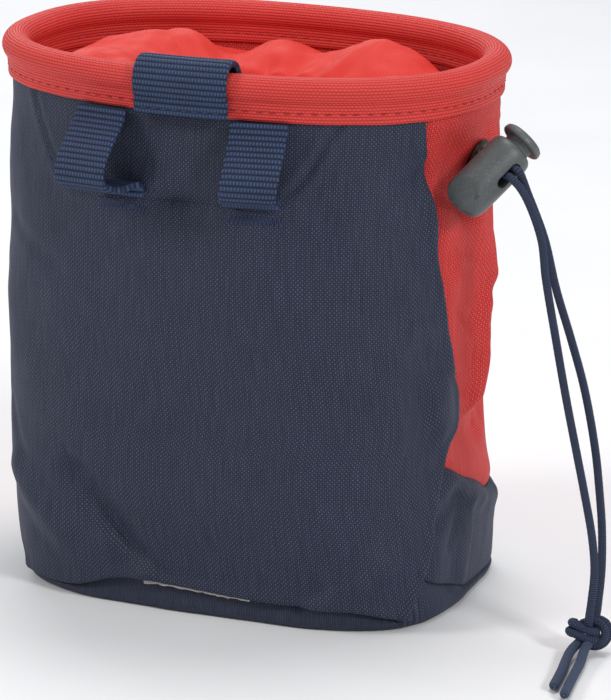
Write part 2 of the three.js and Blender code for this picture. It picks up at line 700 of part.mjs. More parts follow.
// Closure sleeve: puffs of cloth that rise inside the rim, then fall to a gathered hem
function addCollar() {
  const columns = 40;
  const start = bodySection(panelTop);
  const edge = clothWall / 2 + clearance + bandWall / 2;
  const top = bandFoot - clearance - collarWall * 1.4;
  const surface = (angle, place) => {
    const row = { inward: tableValue(collarSteps, 'at', 'inward', place),
      rise: tableValue(collarSteps, 'at', 'rise', place) };
    const wallPoint = bodyPoint(angle, panelTop, -clothWall / 2 - edge - 0.2, false);
    const hem = new THREE.Vector3(
      start.across + (collarHoleWidth / 2) * Math.cos(radians(angle)),
      start.back + (collarHoleDepth / 2) * Math.sin(radians(angle)), 0);
    const point = wallPoint.clone().lerp(hem, row.inward);
    const puff = tableValue(collarPuffs, 'angle', 'rise', angle);
    const height = row.rise > 0 ? row.rise * puff * collarPuff : row.rise * collarThroat;
    return point.setZ(top + (wallPoint.z - panelTop) + height);
  };
  const outer = [];
  const inner = [];
  const stepTurn = 0.4;
  const stepPlace = 0.004;
  for (let row = 0; row < collarPath.length; row += 1) {
    const place = row / (collarPath.length - 1);
    const outerRow = [];
    const innerRow = [];
    for (let column = 0; column < columns; column += 1) {
      const angle = -180 + (360 * column) / columns;
      const around = surface(angle + stepTurn, place).sub(surface(angle - stepTurn, place));
      const low = Math.max(place - stepPlace, 0);
      const along = surface(angle, Math.min(place + stepPlace, 1)).sub(surface(angle, low));
      const normal = around.cross(along).normalize();
      const middle = surface(angle, place);
      outerRow.push(middle.clone().addScaledVector(normal, collarWall / 2));
      innerRow.push(middle.clone().addScaledVector(normal, -collarWall / 2));
    }
    outer.push(outerRow);
    inner.push(innerRow);
  }
  addPiece('closure_collar', facingOut(sheetGeometry(outer, inner, true)), collarCloth);
}

// Belt loop: webbing that leaves the panel under the rim, bows out and turns back to its tack
function addBeltLoop(name, across, skew, reach) {
  const depth = bodySection(panelTop).halfDepth;
  const top = bandFoot - clearance;
  const panelSide = webbingWall / 2 + clearance + loopSlack;
  const middle = loopPath.map((row) => {
    const x = across + row.across * skew;
    const angle = THREE.MathUtils.radToDeg(Math.atan2(-depth, x));
    const height = top - row.along * loopLength;
    const side = bodyPoint(angle + 1, height, 0, false).sub(bodyPoint(angle - 1, height, 0, false));
    return { place: bodyPoint(angle, height, panelSide + row.out * reach), side: side.setZ(0).normalize() };
  });
  const outer = [];
  const inner = [];
  middle.forEach(({ place, side }, i) => {
    const before = middle[Math.max(i - 1, 0)].place;
    const after = middle[Math.min(i + 1, middle.length - 1)].place;
    const along = after.clone().sub(before);
    const normal = along.cross(side).normalize().multiplyScalar(webbingWall / 2);
    const edges = [-loopWidth / 2, loopWidth / 2].map((half) => place.clone().addScaledVector(side, half));
    outer.push(edges.map((edge) => edge.clone().add(normal)));
    inner.push(edges.map((edge) => edge.clone().sub(normal)));
  });
  addPiece(name, facingOut(sheetGeometry(outer, inner)), navyWebbing);
}

// Thin pale strip under the wearer's panel, left plain
function addLabel() {
  const depth = bodySection(0).halfDepth;
  const columns = 6;
  const rows = [[], []];
  const backs = [[], []];
  for (let i = 0; i <= columns; i += 1) {
    const x = labelAcross + labelWidth * (i / columns - 0.5);
    const angle = THREE.MathUtils.radToDeg(Math.atan2(-depth, x));
    const top = tableValue(baseEdgeFront, 'angle', 'height', angle) * panelTop - seamGap;
    [top - labelHeight, top].forEach((height, row) => {
      rows[row].push(bodyPoint(angle, height, clearance + labelWall + 0.1));
      backs[row].push(bodyPoint(angle, height, clearance + 0.1));
    });
  }
  addPiece('label_tab', facingOut(sheetGeometry(rows, backs)), paleLabel);
}

// Frame of the eyelet: its place on the cloth and its outward axis
const eyeletFrame = (() => {
  const place = bodyPoint(eyeletAngle, eyeletHeight);
  const around = bodyPoint(eyeletAngle + 3, eyeletHeight).sub(bodyPoint(eyeletAngle - 3, eyeletHeight));
  const upwards = bodyPoint(eyeletAngle, eyeletHeight + 3).sub(bodyPoint(eyeletAngle, eyeletHeight - 3));
  const axis = around.cross(upwards).normalize();
  const turn = new THREE.Quaternion().setFromUnitVectors(new THREE.Vector3(0, 0, 1), axis);
  return { place, axis, turn };
})();

function placedAtEyelet(geometry) {
  const matrix = new THREE.Matrix4().compose(eyeletFrame.place, eyeletFrame.turn, new THREE.Vector3(1, 1, 1));
  return geometry.applyMatrix4(matrix);
}

// Hole through the side for the eyelet, with a flat seat on each face
function cutForEyelet(cloth) {
  const hole = eyeletBore / 2 + eyeletBarrelWall + clearance;
  const seat = eyeletFlange + clearance;
  const backSeat = eyeletBackFlange + clearance;
  const room = 3;
  const cutter = turned([
    [0, -clothWall - room], [backSeat, -clothWall - room], [backSeat, -clothWall], [hole, -clothWall],
    [hole, 0], [seat, 0], [seat, room], [0, room],
  ], 24);
  return toGeometry(toSolid(cloth).subtract(toSolid(placedAtEyelet(cutter))));
}

function addEyelet() {
  const bore = eyeletBore / 2;
  const barrel = bore + eyeletBarrelWall;
  const front = clearance;
  const rear = -clothWall - clearance;
  const profile = [
    [bore, rear - eyeletSheet], [eyeletBackFlange, rear - eyeletSheet], [eyeletBackFlange, rear],
    [barrel, rear], [barrel, front], [eyeletFlange, front], [eyeletFlange, front + eyeletSheet * 0.5],
    [eyeletFlange - 1, front + eyeletSheet * 1.3], [bore + 0.6, front + eyeletSheet * 1.3],
    [bore, front + eyeletSheet * 0.7], [bore, rear - eyeletSheet],
  ];
  addPiece('eyelet', placedAtEyelet(turned(profile, 20)), darkMetal);
}

// Cord lock. Its own frame has Z along the barrel from the closed end and X along the cord's way
const lockHolePlace = eyeletFrame.place.clone().add(lockFromEyelet);
const lockFrame = (() => {
  const along = lockAxis.clone().normalize();
  const way = lockCordWay.clone().addScaledVector(along, -lockCordWay.dot(along)).normalize();
  const side = along.clone().cross(way);
  const foot = lockHolePlace.clone().addScaledVector(along, -lockHoleAlong);
  const matrix = new THREE.Matrix4().makeBasis(way, side, along).setPosition(foot);
  return { along, way, matrix };
})();

// Oblong block with round ends, length along Z and way along X, to cut the cord's hole
function cordHole(width, length, reach) {
  const shape = new THREE.Shape();
  const straight = length / 2 - width / 2;
  shape.moveTo(width / 2, -straight);
  shape.lineTo(width / 2, straight);
  shape.absarc(0, straight, width / 2, 0, Math.PI, false);
  shape.lineTo(-width / 2, -straight);
  shape.absarc(0, -straight, width / 2, Math.PI, 2 * Math.PI, false);
  const block = new THREE.ExtrudeGeometry(shape, { depth: 2 * reach, bevelEnabled: false, curveSegments: 6 });
  block.translate(0, 0, -reach);
  block.rotateX(Math.PI / 2);
  block.rotateZ(Math.PI / 2);
  return block;
}

function addCordLock() {
  const radius = lockDiameter / 2;
  const shaft = buttonShaft / 2;
  const bore = shaft + clearance;
  const holeWidth = cordDiameter + 2 * clearance;
  const holeLength = 2 * cordDiameter + 3 * clearance + 0.4;
  const barrelSides = 28;
  const barrel = toSolid(turned([
    [0, 0], [radius * 0.62, 0.3], [radius * 0.9, 1.6], [radius, 4], [radius, lockLength - 1.6],
    [radius * 0.93, lockLength - 0.5], [radius * 0.8, lockLength], [bore, lockLength], [bore, lockBoreFloor],
    [0, lockBoreFloor],
  ], barrelSides));
  const hole = cordHole(holeWidth, holeLength, radius + 1);
  hole.translate(0, 0, lockHoleAlong);
  addPiece('cord_lock_barrel', toGeometry(barrel.subtract(toSolid(hole))).applyMatrix4(lockFrame.matrix),
    greyPlastic);

  // At rest the slot in the shaft stands higher than the barrel's hole by the travel at its far end
  const slotLow = lockHoleAlong - holeLength / 2;
  const slotHigh = lockHoleAlong + holeLength / 2 + buttonTravel;
  const headFoot = lockLength + buttonRest;
  const head = buttonHead / 2;
  const button = toSolid(turned([
    [0, slotLow - buttonFoot], [shaft - 0.4, slotLow - buttonFoot], [shaft, slotLow - buttonFoot + 0.4],
    [shaft, headFoot], [head * 0.9, headFoot], [head, headFoot + 0.5],
    [head, headFoot + buttonHeadHeight * 0.45], [head * 0.85, headFoot + buttonHeadHeight * 0.8],
    [head * 0.5, headFoot + buttonHeadHeight],
    [0, headFoot + buttonHeadHeight],
  ], 24));
  const slot = cordHole(holeWidth, slotHigh - slotLow, shaft + 1);
  slot.translate(0, 0, (slotLow + slotHigh) / 2);
  addPiece('cord_lock_button', toGeometry(button.subtract(toSolid(slot))).applyMatrix4(lockFrame.matrix),
    greyPlastic);
}

// Plain tube along a route
function cordGeometry(route, steps) {
  const shape = new THREE.Shape();
  for (let i = 0; i < cordSides; i += 1) {
    const turn = (2 * Math.PI * i) / cordSides;
    const x = (cordDiameter / 2) * Math.cos(turn);
    const y = (cordDiameter / 2) * Math.sin(turn);
    if (i === 0) shape.moveTo(x, y);
    else shape.lineTo(x, y);
  }
  const curve = new THREE.CatmullRomCurve3(route, false, 'centripetal');
  return new THREE.ExtrudeGeometry(shape, { steps, extrudePath: curve, bevelEnabled: false });
}

// The strands lie beside each other in the eyelet, along the lock's own line
const eyeletSide = lockFrame.along.clone()
  .addScaledVector(eyeletFrame.axis, -lockFrame.along.dot(eyeletFrame.axis)).normalize();

function addCord() {
  const pitch = (cordDiameter + clearance) / 2 + 0.1;
  const sideways = lockFrame.along.clone().multiplyScalar(pitch);
  const strand = (name, side, route) => {
    const atEyelet = (out) => eyeletFrame.place.clone()
      .addScaledVector(eyeletFrame.axis, out).addScaledVector(eyeletSide, side * pitch);
    const atLock = (way) => lockHolePlace.clone()
      .addScaledVector(lockFrame.way, way).addScaledVector(sideways, side);
    const [entry, exit] = [-lockDiameter / 2, lockDiameter / 2];
    const points = [
      atEyelet(-clothWall - cordDiameter / 2), atEyelet(eyeletSheet), atEyelet(eyeletSheet + cordDiameter * 0.7),
      atLock(entry - cordDiameter * 0.7), atLock(entry + 0.5), atLock(0), atLock(exit - 1), atLock(exit + 1.2),
      ...route.map((p) => new THREE.Vector3(...p)),
    ];
    addPiece(name, cordGeometry(points, 30), navyCord);
  };
  strand('cord_strand_left', -1, strandARoute);
  strand('cord_strand_right', 1, strandBRoute);
  addKnot();
  for (const [name, route] of Object.entries(tailRoutes)) {
    addPiece(name, cordGeometry(route.map((p) => new THREE.Vector3(...p)), 6), navyCord);
  }
}
// Knot that ties the two strands, as one lump with three lobes
function addKnot() {
  const lobe = (length, width, x, y, z, turn) => {
    const ball = new THREE.SphereGeometry(0.5, 12, 8);
    ball.scale(length, width, width);
    ball.rotateZ(radians(turn));
    ball.translate(x, y, z);
    return toSolid(ball);
  };
  const knot = lobe(knotLength, knotWidth, 0, 0, 0, 52)
    .add(lobe(knotLength * 0.75, knotWidth * 0.8, -1.4, -1.4, -0.4, 110))
    .add(lobe(knotLength * 0.6, knotWidth * 0.75, 1.6, 2.0, -0.3, 20));
  addPiece('cord_knot', toGeometry(knot).translate(knotPlace.x, knotPlace.y, knotPlace.z), navyCord);
}

addBody();
addRim();
addRimTab();
addCollar();
addBeltLoop('belt_loop_left', leftLoopAcross, leftLoopSkew, leftLoopReach);
addBeltLoop('belt_loop_right', rightLoopAcross, rightLoopSkew, rightLoopReach);
addLabel();
addEyelet();
addCordLock();
addCord();

export default group;
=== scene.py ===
import math
import bpy
from mathutils import Matrix, Vector, noise


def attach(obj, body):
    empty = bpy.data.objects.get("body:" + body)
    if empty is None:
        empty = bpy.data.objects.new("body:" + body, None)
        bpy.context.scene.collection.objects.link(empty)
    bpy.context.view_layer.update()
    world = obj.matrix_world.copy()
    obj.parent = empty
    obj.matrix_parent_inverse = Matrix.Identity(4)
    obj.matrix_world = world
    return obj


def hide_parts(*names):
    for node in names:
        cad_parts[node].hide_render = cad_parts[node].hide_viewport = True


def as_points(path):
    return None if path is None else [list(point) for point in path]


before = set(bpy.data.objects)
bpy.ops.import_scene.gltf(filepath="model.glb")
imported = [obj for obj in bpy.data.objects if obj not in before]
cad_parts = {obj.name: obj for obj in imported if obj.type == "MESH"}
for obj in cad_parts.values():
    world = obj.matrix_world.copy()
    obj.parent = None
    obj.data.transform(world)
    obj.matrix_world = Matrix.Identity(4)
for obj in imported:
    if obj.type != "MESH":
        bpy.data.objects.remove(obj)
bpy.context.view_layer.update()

# Sizes are in millimetres up to the last step, where vertices are stored in metres
mm = 0.001

# ---- camera, floor and light

shot = {
    "lookAt": (0, 0, 69.695),      # point of the bag on the lens axis
    "towardsCamera": (0.3775, -0.8862, 0.2687),
    "distance": 1000,
    "lens": 198,
    "shiftRight": 0.0718,          # the bag stands left of the middle of the photograph
    "shiftUp": -0.0524,
}


def placeCamera():
    camera = bpy.data.objects.new("camera", bpy.data.cameras.new("camera"))
    bpy.context.scene.collection.objects.link(camera)
    back = Vector(shot["towardsCamera"]).normalized()
    camera.location = (Vector(shot["lookAt"]) + back * shot["distance"]) * mm
    camera.rotation_euler = back.to_track_quat("Z", "Y").to_euler()
    camera.data.sensor_width = 36
    camera.data.lens = shot["lens"]
    camera.data.shift_x = shot["shiftRight"]
    camera.data.shift_y = shot["shiftUp"]
    camera.data.clip_start = 0.05
    camera.data.clip_end = 20
    bpy.context.scene.camera = camera


lamps = [
    # name, place, aim, size in metres, watts, colour
    ("lampFrontLeft", (-1.05, -0.75, 0.9), (0, 0, 0.07), 0.4, 7.5, (1, 0.985, 0.96)),
    ("lampRight", (1.2, -0.55, 0.85), (0.02, 0, 0.07), 0.3, 9.0, (1, 0.99, 0.98)),
    ("lampTop", (0.05, 0.25, 1.3), (0, 0, 0.12), 0.5, 6, (1, 1, 1)),
    ("lampBack", (-0.7, 0.95, 0.8), (0, 0, 0.08), 0.8, 4, (0.97, 0.985, 1)),
]
studio = {"sky": (0.93, 0.94, 0.96, 1), "strength": 0.42}


def placeLamps():
    for name, place, aim, size, watts, colour in lamps:
        lamp = bpy.data.lights.new(name, "AREA")
        lamp.shape = "DISK"
        lamp.size = size
        lamp.energy = watts
        lamp.color = colour
        holder = bpy.data.objects.new(name, lamp)
        holder.location = place
        holder.rotation_euler = (Vector(place) - Vector(aim)).to_track_quat("Z", "Y").to_euler()
        bpy.context.scene.collection.objects.link(holder)
    world = bpy.data.worlds.new("studio")
    world.use_nodes = True
    sky = world.node_tree.nodes["Background"]
    sky.inputs["Color"].default_value = studio["sky"]
    sky.inputs["Strength"].default_value = studio["strength"]
    bpy.context.scene.world = world


# ---- helpers for nodes

def addNode(tree, kind, inputs=None, **settings):
    made = tree.nodes.new(kind)
    for key, value in settings.items():
        setattr(made, key, value)
    for key, value in (inputs or {}).items():
        if isinstance(value, bpy.types.NodeSocket):
            tree.links.new(value, made.inputs[key])
        else:
            made.inputs[key].default_value = value
    return made


def calc(tree, operation, *values):
    return addNode(tree, "ShaderNodeMath", dict(enumerate(values)), operation=operation).outputs[0]


def spreadOf(tree, value, low, high, toLow=0.0, toHigh=1.0):
    return addNode(tree, "ShaderNodeMapRange", {0: value, 1: low, 2: high, 3: toLow, 4: toHigh}).outputs[0]


def blended(tree, factor, first, second):
    return addNode(tree, "ShaderNodeMix", {0: factor, 6: first, 7: second}, data_type="RGBA").outputs[2]


def newGroup(name, inputs, outputs):
    group = bpy.data.node_groups.new(name, "ShaderNodeTree")
    for label, kind in inputs:
        group.interface.new_socket(name=label, in_out="INPUT", socket_type=kind)
    for label, kind in outputs:
        group.interface.new_socket(name=label, in_out="OUTPUT", socket_type=kind)
    return group, group.nodes.new("NodeGroupInput"), group.nodes.new("NodeGroupOutput")


# Plain weave: warp and weft threads that pass over and under each other
def buildWeave():
    tree, given, result = newGroup(
        "threadWeave",
        [("Cloth", "NodeSocketVector"), ("Pitch", "NodeSocketFloat"), ("Slub", "NodeSocketFloat")],
        [("Height", "NodeSocketFloat"), ("Thread", "NodeSocketFloat"), ("Tone", "NodeSocketFloat")],
    )
    scaled = addNode(tree, "ShaderNodeVectorMath", {0: given.outputs["Cloth"]}, operation="DIVIDE")
    pitch = addNode(tree, "ShaderNodeCombineXYZ", {
        0: given.outputs["Pitch"], 1: given.outputs["Pitch"], 2: 1.0})
    tree.links.new(pitch.outputs[0], scaled.inputs[1])
    cells = addNode(tree, "ShaderNodeSeparateXYZ", {0: scaled.outputs[0]})
    across, along = cells.outputs[0], cells.outputs[1]
    ridgeA = calc(tree, "ABSOLUTE", calc(tree, "SINE", calc(tree, "MULTIPLY", across, math.pi)))
    ridgeB = calc(tree, "ABSOLUTE", calc(tree, "SINE", calc(tree, "MULTIPLY", along, math.pi)))
    checks = calc(tree, "ADD", calc(tree, "FLOOR", across), calc(tree, "FLOOR", along))
    over = calc(tree, "FLOORED_MODULO", checks, 2.0)
    warp = calc(tree, "MULTIPLY", ridgeA, calc(tree, "MULTIPLY_ADD", ridgeB, 0.55, 0.45))
    weft = calc(tree, "MULTIPLY", ridgeB, calc(tree, "MULTIPLY_ADD", ridgeA, 0.55, 0.40))
    height = addNode(tree, "ShaderNodeMix", {0: over, 2: weft, 3: warp}).outputs[0]
    streaks = addNode(tree, "ShaderNodeMapping", {0: scaled.outputs[0], 3: (1.0, 0.06, 1.0)})
    slub = addNode(tree, "ShaderNodeTexNoise", {"Vector": streaks.outputs[0], "Scale": 1.0, "Detail": 2.0})
    tone = spreadOf(tree, slub.outputs[0], 0.3, 0.7)
    shaded = calc(tree, "MULTIPLY_ADD", calc(tree, "SUBTRACT", tone, 0.5), given.outputs["Slub"], height)
    tree.links.new(shaded, result.inputs["Height"])
    tree.links.new(calc(tree, "MULTIPLY", over, warp), result.inputs["Thread"])
    tree.links.new(tone, result.inputs["Tone"])
    return tree


# Ribbed webbing: rows of ribs across, each with a line of picks on its crest, where the cloth gets a painted
# highlight
def buildRibs():
    tree, given, result = newGroup(
        "ribRows",
        [("Cloth", "NodeSocketVector"), ("Rib", "NodeSocketFloat"), ("Pick", "NodeSocketFloat")],
        [("Height", "NodeSocketFloat"), ("Pick", "NodeSocketFloat"), ("Groove", "NodeSocketFloat")],
    )
    place = addNode(tree, "ShaderNodeSeparateXYZ", {0: given.outputs["Cloth"]})
    rows = calc(tree, "DIVIDE", place.outputs[1], given.outputs["Rib"])
    picks = calc(tree, "DIVIDE", place.outputs[0], given.outputs["Pick"])
    rib = calc(tree, "ABSOLUTE", calc(tree, "SINE", calc(tree, "MULTIPLY", rows, math.pi)))
    halfStep = calc(tree, "MULTIPLY", calc(tree, "FLOOR", rows), 0.5)
    wave = calc(tree, "SINE", calc(tree, "MULTIPLY", calc(tree, "ADD", picks, halfStep), 2 * math.pi))
    pick = calc(tree, "MULTIPLY", spreadOf(tree, wave, -0.2, 0.8), spreadOf(tree, rib, 0.35, 0.95))
    raised = calc(tree, "MULTIPLY_ADD", pick, 0.35, calc(tree, "POWER", rib, 0.6))
    tree.links.new(raised, result.inputs["Height"])
    tree.links.new(pick, result.inputs["Pick"])
    tree.links.new(spreadOf(tree, rib, 0.5, 0.0), result.inputs["Groove"])
    return tree


# Braided sheath: two sets of strands that cross on the slant
def buildBraid():
    tree, given, result = newGroup(
        "braidSheath",
        [("Cloth", "NodeSocketVector"), ("Pitch", "NodeSocketFloat")],
        [("Height", "NodeSocketFloat"), ("StrandHighlight", "NodeSocketFloat")],
    )
    place = addNode(tree, "ShaderNodeSeparateXYZ", {0: given.outputs["Cloth"]})
    turn = calc(tree, "DIVIDE", 2 * math.pi, given.outputs["Pitch"])
    rise = calc(tree, "MULTIPLY", place.outputs[1], 0.72)
    left = calc(tree, "SINE", calc(tree, "MULTIPLY", calc(tree, "ADD", place.outputs[0], rise), turn))
    right = calc(tree, "SINE", calc(tree, "MULTIPLY", calc(tree, "SUBTRACT", place.outputs[0], rise), turn))
    cross = calc(tree, "MULTIPLY", left, right)
    tree.links.new(calc(tree, "ABSOLUTE", cross), result.inputs["Height"])
    # the second output masks the crests of one set of strands, where the sheath gets a painted highlight
    tree.links.new(spreadOf(tree, cross, 0.25, 0.9), result.inputs["StrandHighlight"])
    return tree


# Uneven tone over a surface: soft patches with finer specks in them
def buildPatches():
    tree, given, result = newGroup(
        "softPatches",
        [("Place", "NodeSocketVector"), ("Scale", "NodeSocketFloat"), ("Specks", "NodeSocketFloat")],
        [("Value", "NodeSocketFloat")],
    )
    place, scale = given.outputs["Place"], given.outputs["Scale"]
    wide = addNode(tree, "ShaderNodeTexNoise", {
        "Vector": place, "Scale": scale, "Detail": 3.0, "Roughness": 0.6})
    fine = addNode(tree, "ShaderNodeTexNoise", {
        "Vector": place, "Scale": calc(tree, "MULTIPLY", scale, 24.0), "Detail": 2.0})
    specks = calc(tree, "MULTIPLY", calc(tree, "SUBTRACT", fine.outputs[0], 0.5), given.outputs["Specks"])
    total = calc(tree, "ADD", spreadOf(tree, wide.outputs[0], 0.25, 0.75), specks)
    tree.links.new(total, result.inputs["Value"])
    return tree


weaveGroup = buildWeave()
ribGroup = buildRibs()
braidGroup = buildBraid()
patchGroup = buildPatches()


def startMaterial(name):
    material = bpy.data.materials.new(name)
    material.use_nodes = True
    tree = material.node_tree
    tree.nodes.clear()
    shader = addNode(tree, "ShaderNodeBsdfPrincipled")
    addNode(tree, "ShaderNodeOutputMaterial", {0: shader.outputs[0]})
    return material, tree, shader


def useGroup(tree, group, inputs):
    return addNode(tree, "ShaderNodeGroup", inputs, node_tree=group)


def clothPlace(tree):
    return addNode(tree, "ShaderNodeUVMap", uv_map="cloth").outputs[0]


def solidPlace(tree):
    return addNode(tree, "ShaderNodeTexCoord").outputs["Object"]


def bumped(tree, shader, height, depth):
    bump = addNode(tree, "ShaderNodeBump", {"Strength": 1.0, "Distance": depth * mm, "Height": height})
    tree.links.new(bump.outputs[0], shader.inputs["Normal"])


# Uneven ground of a material, in patches from its dark colour to its full one
def groundOf(tree, look, scale, specks):
    patches = useGroup(tree, patchGroup, {"Place": solidPlace(tree), "Scale": scale, "Specks": specks})
    return blended(tree, patches.outputs["Value"], look["dark"], look["colour"])


# rough: low and high of the cloth's height, and the roughness at each
def setCloth(tree, shader, look, colour, height, rough, settings):
    tree.links.new(colour, shader.inputs["Base Color"])
    tree.links.new(spreadOf(tree, height, *rough), shader.inputs["Roughness"])
    for label, value in settings.items():
        shader.inputs[label].default_value = value
    shader.inputs["Sheen Tint"].default_value = look["light"]
    bumped(tree, shader, height, look["relief"])


def wovenCloth(name, look):
    material, tree, shader = startMaterial(name)
    weave = useGroup(tree, weaveGroup, {
        "Cloth": clothPlace(tree), "Pitch": look["pitch"], "Slub": look["slub"]})
    height = weave.outputs["Height"]
    ground = groundOf(tree, look, look["patchScale"], 0.5)
    # painted shade: where the threads lie low, in the hollows between them, the cloth is mixed towards a darker
    # colour
    threads = blended(tree, spreadOf(tree, height, 0.05, 0.55), look["gap"], ground)
    # painted highlight: the crests of the warp threads that lie on top are mixed towards the light colour, as
    # small pale dots
    lit = calc(tree, "MULTIPLY", spreadOf(tree, weave.outputs["Thread"], 0.45, 0.95), look["dots"])
    dots = calc(tree, "MULTIPLY", lit, calc(tree, "MULTIPLY_ADD", weave.outputs["Tone"], 0.8, 0.3))
    setCloth(tree, shader, look, blended(tree, dots, threads, look["light"]), height,
             (0.0, 1.0, look["rough"] + 0.12, look["rough"] - 0.06),
             {"Sheen Weight": look["sheen"], "Sheen Roughness": 0.45, "Specular IOR Level": 0.35})
    return material


def ribbedCloth(name, look):
    material, tree, shader = startMaterial(name)
    ribs = useGroup(tree, ribGroup, {"Cloth": clothPlace(tree), "Rib": look["rib"], "Pick": look["pick"]})
    ground = groundOf(tree, look, look["patchScale"], 0.6)
    # painted shade: the low ground between the ribs is mixed towards a darker colour
    groove = calc(tree, "MULTIPLY", ribs.outputs["Groove"], look["grooveShade"])
    # painted highlight: the picks on the rib crests are mixed towards the light colour
    picks = calc(tree, "MULTIPLY", ribs.outputs["Pick"], look["dots"])
    colour = blended(tree, picks, blended(tree, groove, ground, look["gap"]), look["light"])
    setCloth(tree, shader, look, colour, ribs.outputs["Height"],
             (0.0, 1.2, look["rough"] + 0.1, look["rough"] - 0.05),
             {"Sheen Weight": look["sheen"], "Sheen Roughness": 0.4, "Specular IOR Level": 0.35})
    return material


def braidedSheath(name, look):
    material, tree, shader = startMaterial(name)
    braid = useGroup(tree, braidGroup, {"Cloth": clothPlace(tree), "Pitch": look["pitch"]})
    height = braid.outputs["Height"]
    # painted shade: where the strands lie low the sheath is mixed towards a darker colour
    threads = blended(tree, spreadOf(tree, height, 0.0, 0.5), look["gap"], groundOf(tree, look, 160.0, 0.8))
    # painted highlight: the crests of one set of strands are mixed towards the light colour
    strandHighlights = calc(tree, "MULTIPLY", braid.outputs["StrandHighlight"], look["dots"])
    setCloth(tree, shader, look, blended(tree, strandHighlights, threads, look["light"]), height,
             (0.0, 1.0, 0.9, 0.68), {"Sheen Weight": 0.08})
    return material


def rgb(red, green, blue):
    def linear(value):
        share = value / 255
        return share / 12.92 if share <= 0.04045 else ((share + 0.055) / 1.055) ** 2.4
    return (linear(red), linear(green), linear(blue), 1)


# in the looks below, gap is the colour of painted shade in the hollows between threads, and light is the colour
# of painted highlights on their crests and the sheen's tint
navyCloth = wovenCloth("navyCloth", {
    "pitch": 0.56, "slub": 0.25, "patchScale": 22.0, "colour": rgb(40, 46, 68), "dark": rgb(34, 39, 59),
    "gap": rgb(20, 23, 38), "light": rgb(110, 124, 158), "dots": 0.5, "rough": 0.56, "sheen": 0.1,
    "relief": 0.09})
redCloth = wovenCloth("redCloth", {
    "pitch": 0.6, "slub": 0.25, "patchScale": 25.0, "colour": rgb(214, 54, 50), "dark": rgb(202, 42, 42),
    "gap": rgb(158, 22, 26), "light": rgb(250, 140, 124), "dots": 0.5, "rough": 0.6, "sheen": 0.06,
    "relief": 0.09})
collarCloth = wovenCloth("collarCloth", {
    "pitch": 0.42, "slub": 0.2, "patchScale": 30.0, "colour": rgb(226, 54, 42), "dark": rgb(216, 46, 38),
    "gap": rgb(190, 34, 28), "light": rgb(244, 98, 78), "dots": 0.3, "rough": 0.58, "sheen": 0.05,
    "relief": 0.03})
rimCloth = ribbedCloth("rimCloth", {
    "rib": 0.78, "pick": 0.95, "patchScale": 30.0, "colour": rgb(214, 58, 52), "dark": rgb(204, 48, 46),
    "gap": rgb(164, 26, 30), "light": rgb(238, 116, 102), "dots": 0.32, "grooveShade": 0.8, "rough": 0.6,
    "sheen": 0.05, "relief": 0.14})
webbing = ribbedCloth("webbing", {
    "rib": 1.5, "pick": 0.85, "patchScale": 60.0, "colour": rgb(34, 50, 82), "dark": rgb(27, 40, 68),
    "gap": rgb(10, 14, 28), "light": rgb(82, 106, 146), "dots": 0.5, "grooveShade": 0.9, "rough": 0.66,
    "sheen": 0.08, "relief": 0.24})
# name: pitch, relief, dots, then the colour and its dark, gap and light ones; gap is the colour of painted shade
# between the strands, light that of painted highlights on them
sheaths = {
    "cordSheath": (0.8, 0.14, 0.5, (38, 50, 80), (30, 40, 66), (13, 18, 34), (108, 128, 170)),
    "tailSheath": (0.8, 0.14, 0.55, (52, 70, 100), (42, 58, 86), (20, 28, 46), (140, 158, 190)),
    "blueThread": (0.3, 0.04, 0.5, (52, 66, 104), (42, 54, 88), (24, 32, 56), (108, 126, 168)),
    "darkRedThread": (0.3, 0.04, 0.4, (182, 36, 38), (168, 30, 34), (140, 20, 26), (220, 84, 76)),
    "redThread": (0.3, 0.04, 0.5, (226, 74, 66), (206, 52, 48), (150, 26, 30), (255, 140, 126)),
}


def buildSheath(name):
    pitch, relief, dots, *colours = sheaths[name]
    look = {"pitch": pitch, "relief": relief, "dots": dots}
    for label, colour in zip(("colour", "dark", "gap", "light"), colours):
        look[label] = rgb(*colour)
    return braidedSheath(name, look)


cordSheath, tailSheath, blueThread, darkRedThread, redThread = [buildSheath(name) for name in sheaths]

mouldedGrey = {"colour": rgb(88, 93, 94), "dark": rgb(70, 74, 76), "light": rgb(132, 138, 138), "rough": 0.42}


def buildPlastic():
    material, tree, shader = startMaterial("mouldedGrey")
    grain = addNode(tree, "ShaderNodeTexNoise", {
        "Vector": solidPlace(tree), "Scale": 2600.0, "Detail": 2.0}).outputs[0]
    specks = spreadOf(tree, grain, 0.6, 0.75, 0.0, 0.55)
    colour = blended(tree, specks, groundOf(tree, mouldedGrey, 70.0, 0.9), mouldedGrey["light"])
    tree.links.new(colour, shader.inputs["Base Color"])
    rough = spreadOf(tree, grain, 0.3, 0.7, mouldedGrey["rough"] - 0.06, mouldedGrey["rough"] + 0.12)
    tree.links.new(rough, shader.inputs["Roughness"])
    bumped(tree, shader, grain, 0.05)
    return material


darkNickel = {"colour": rgb(96, 90, 84), "dark": rgb(44, 40, 38), "rough": 0.22}


def buildNickel():
    material, tree, shader = startMaterial("darkNickel")
    place = solidPlace(tree)
    patches = useGroup(tree, patchGroup, {"Place": place, "Scale": 260.0, "Specks": 0.8}).outputs["Value"]
    colour = blended(tree, patches, darkNickel["dark"], darkNickel["colour"])
    tree.links.new(colour, shader.inputs["Base Color"])
    rough = spreadOf(tree, patches, 0.0, 1.0, darkNickel["rough"] + 0.2, darkNickel["rough"])
    tree.links.new(rough, shader.inputs["Roughness"])
    shader.inputs["Metallic"].default_value = 1.0
    scratches = addNode(tree, "ShaderNodeTexNoise", {"Vector": place, "Scale": 1500.0, "Detail": 3.0})
    bumped(tree, shader, scratches.outputs[0], 0.02)
    return material


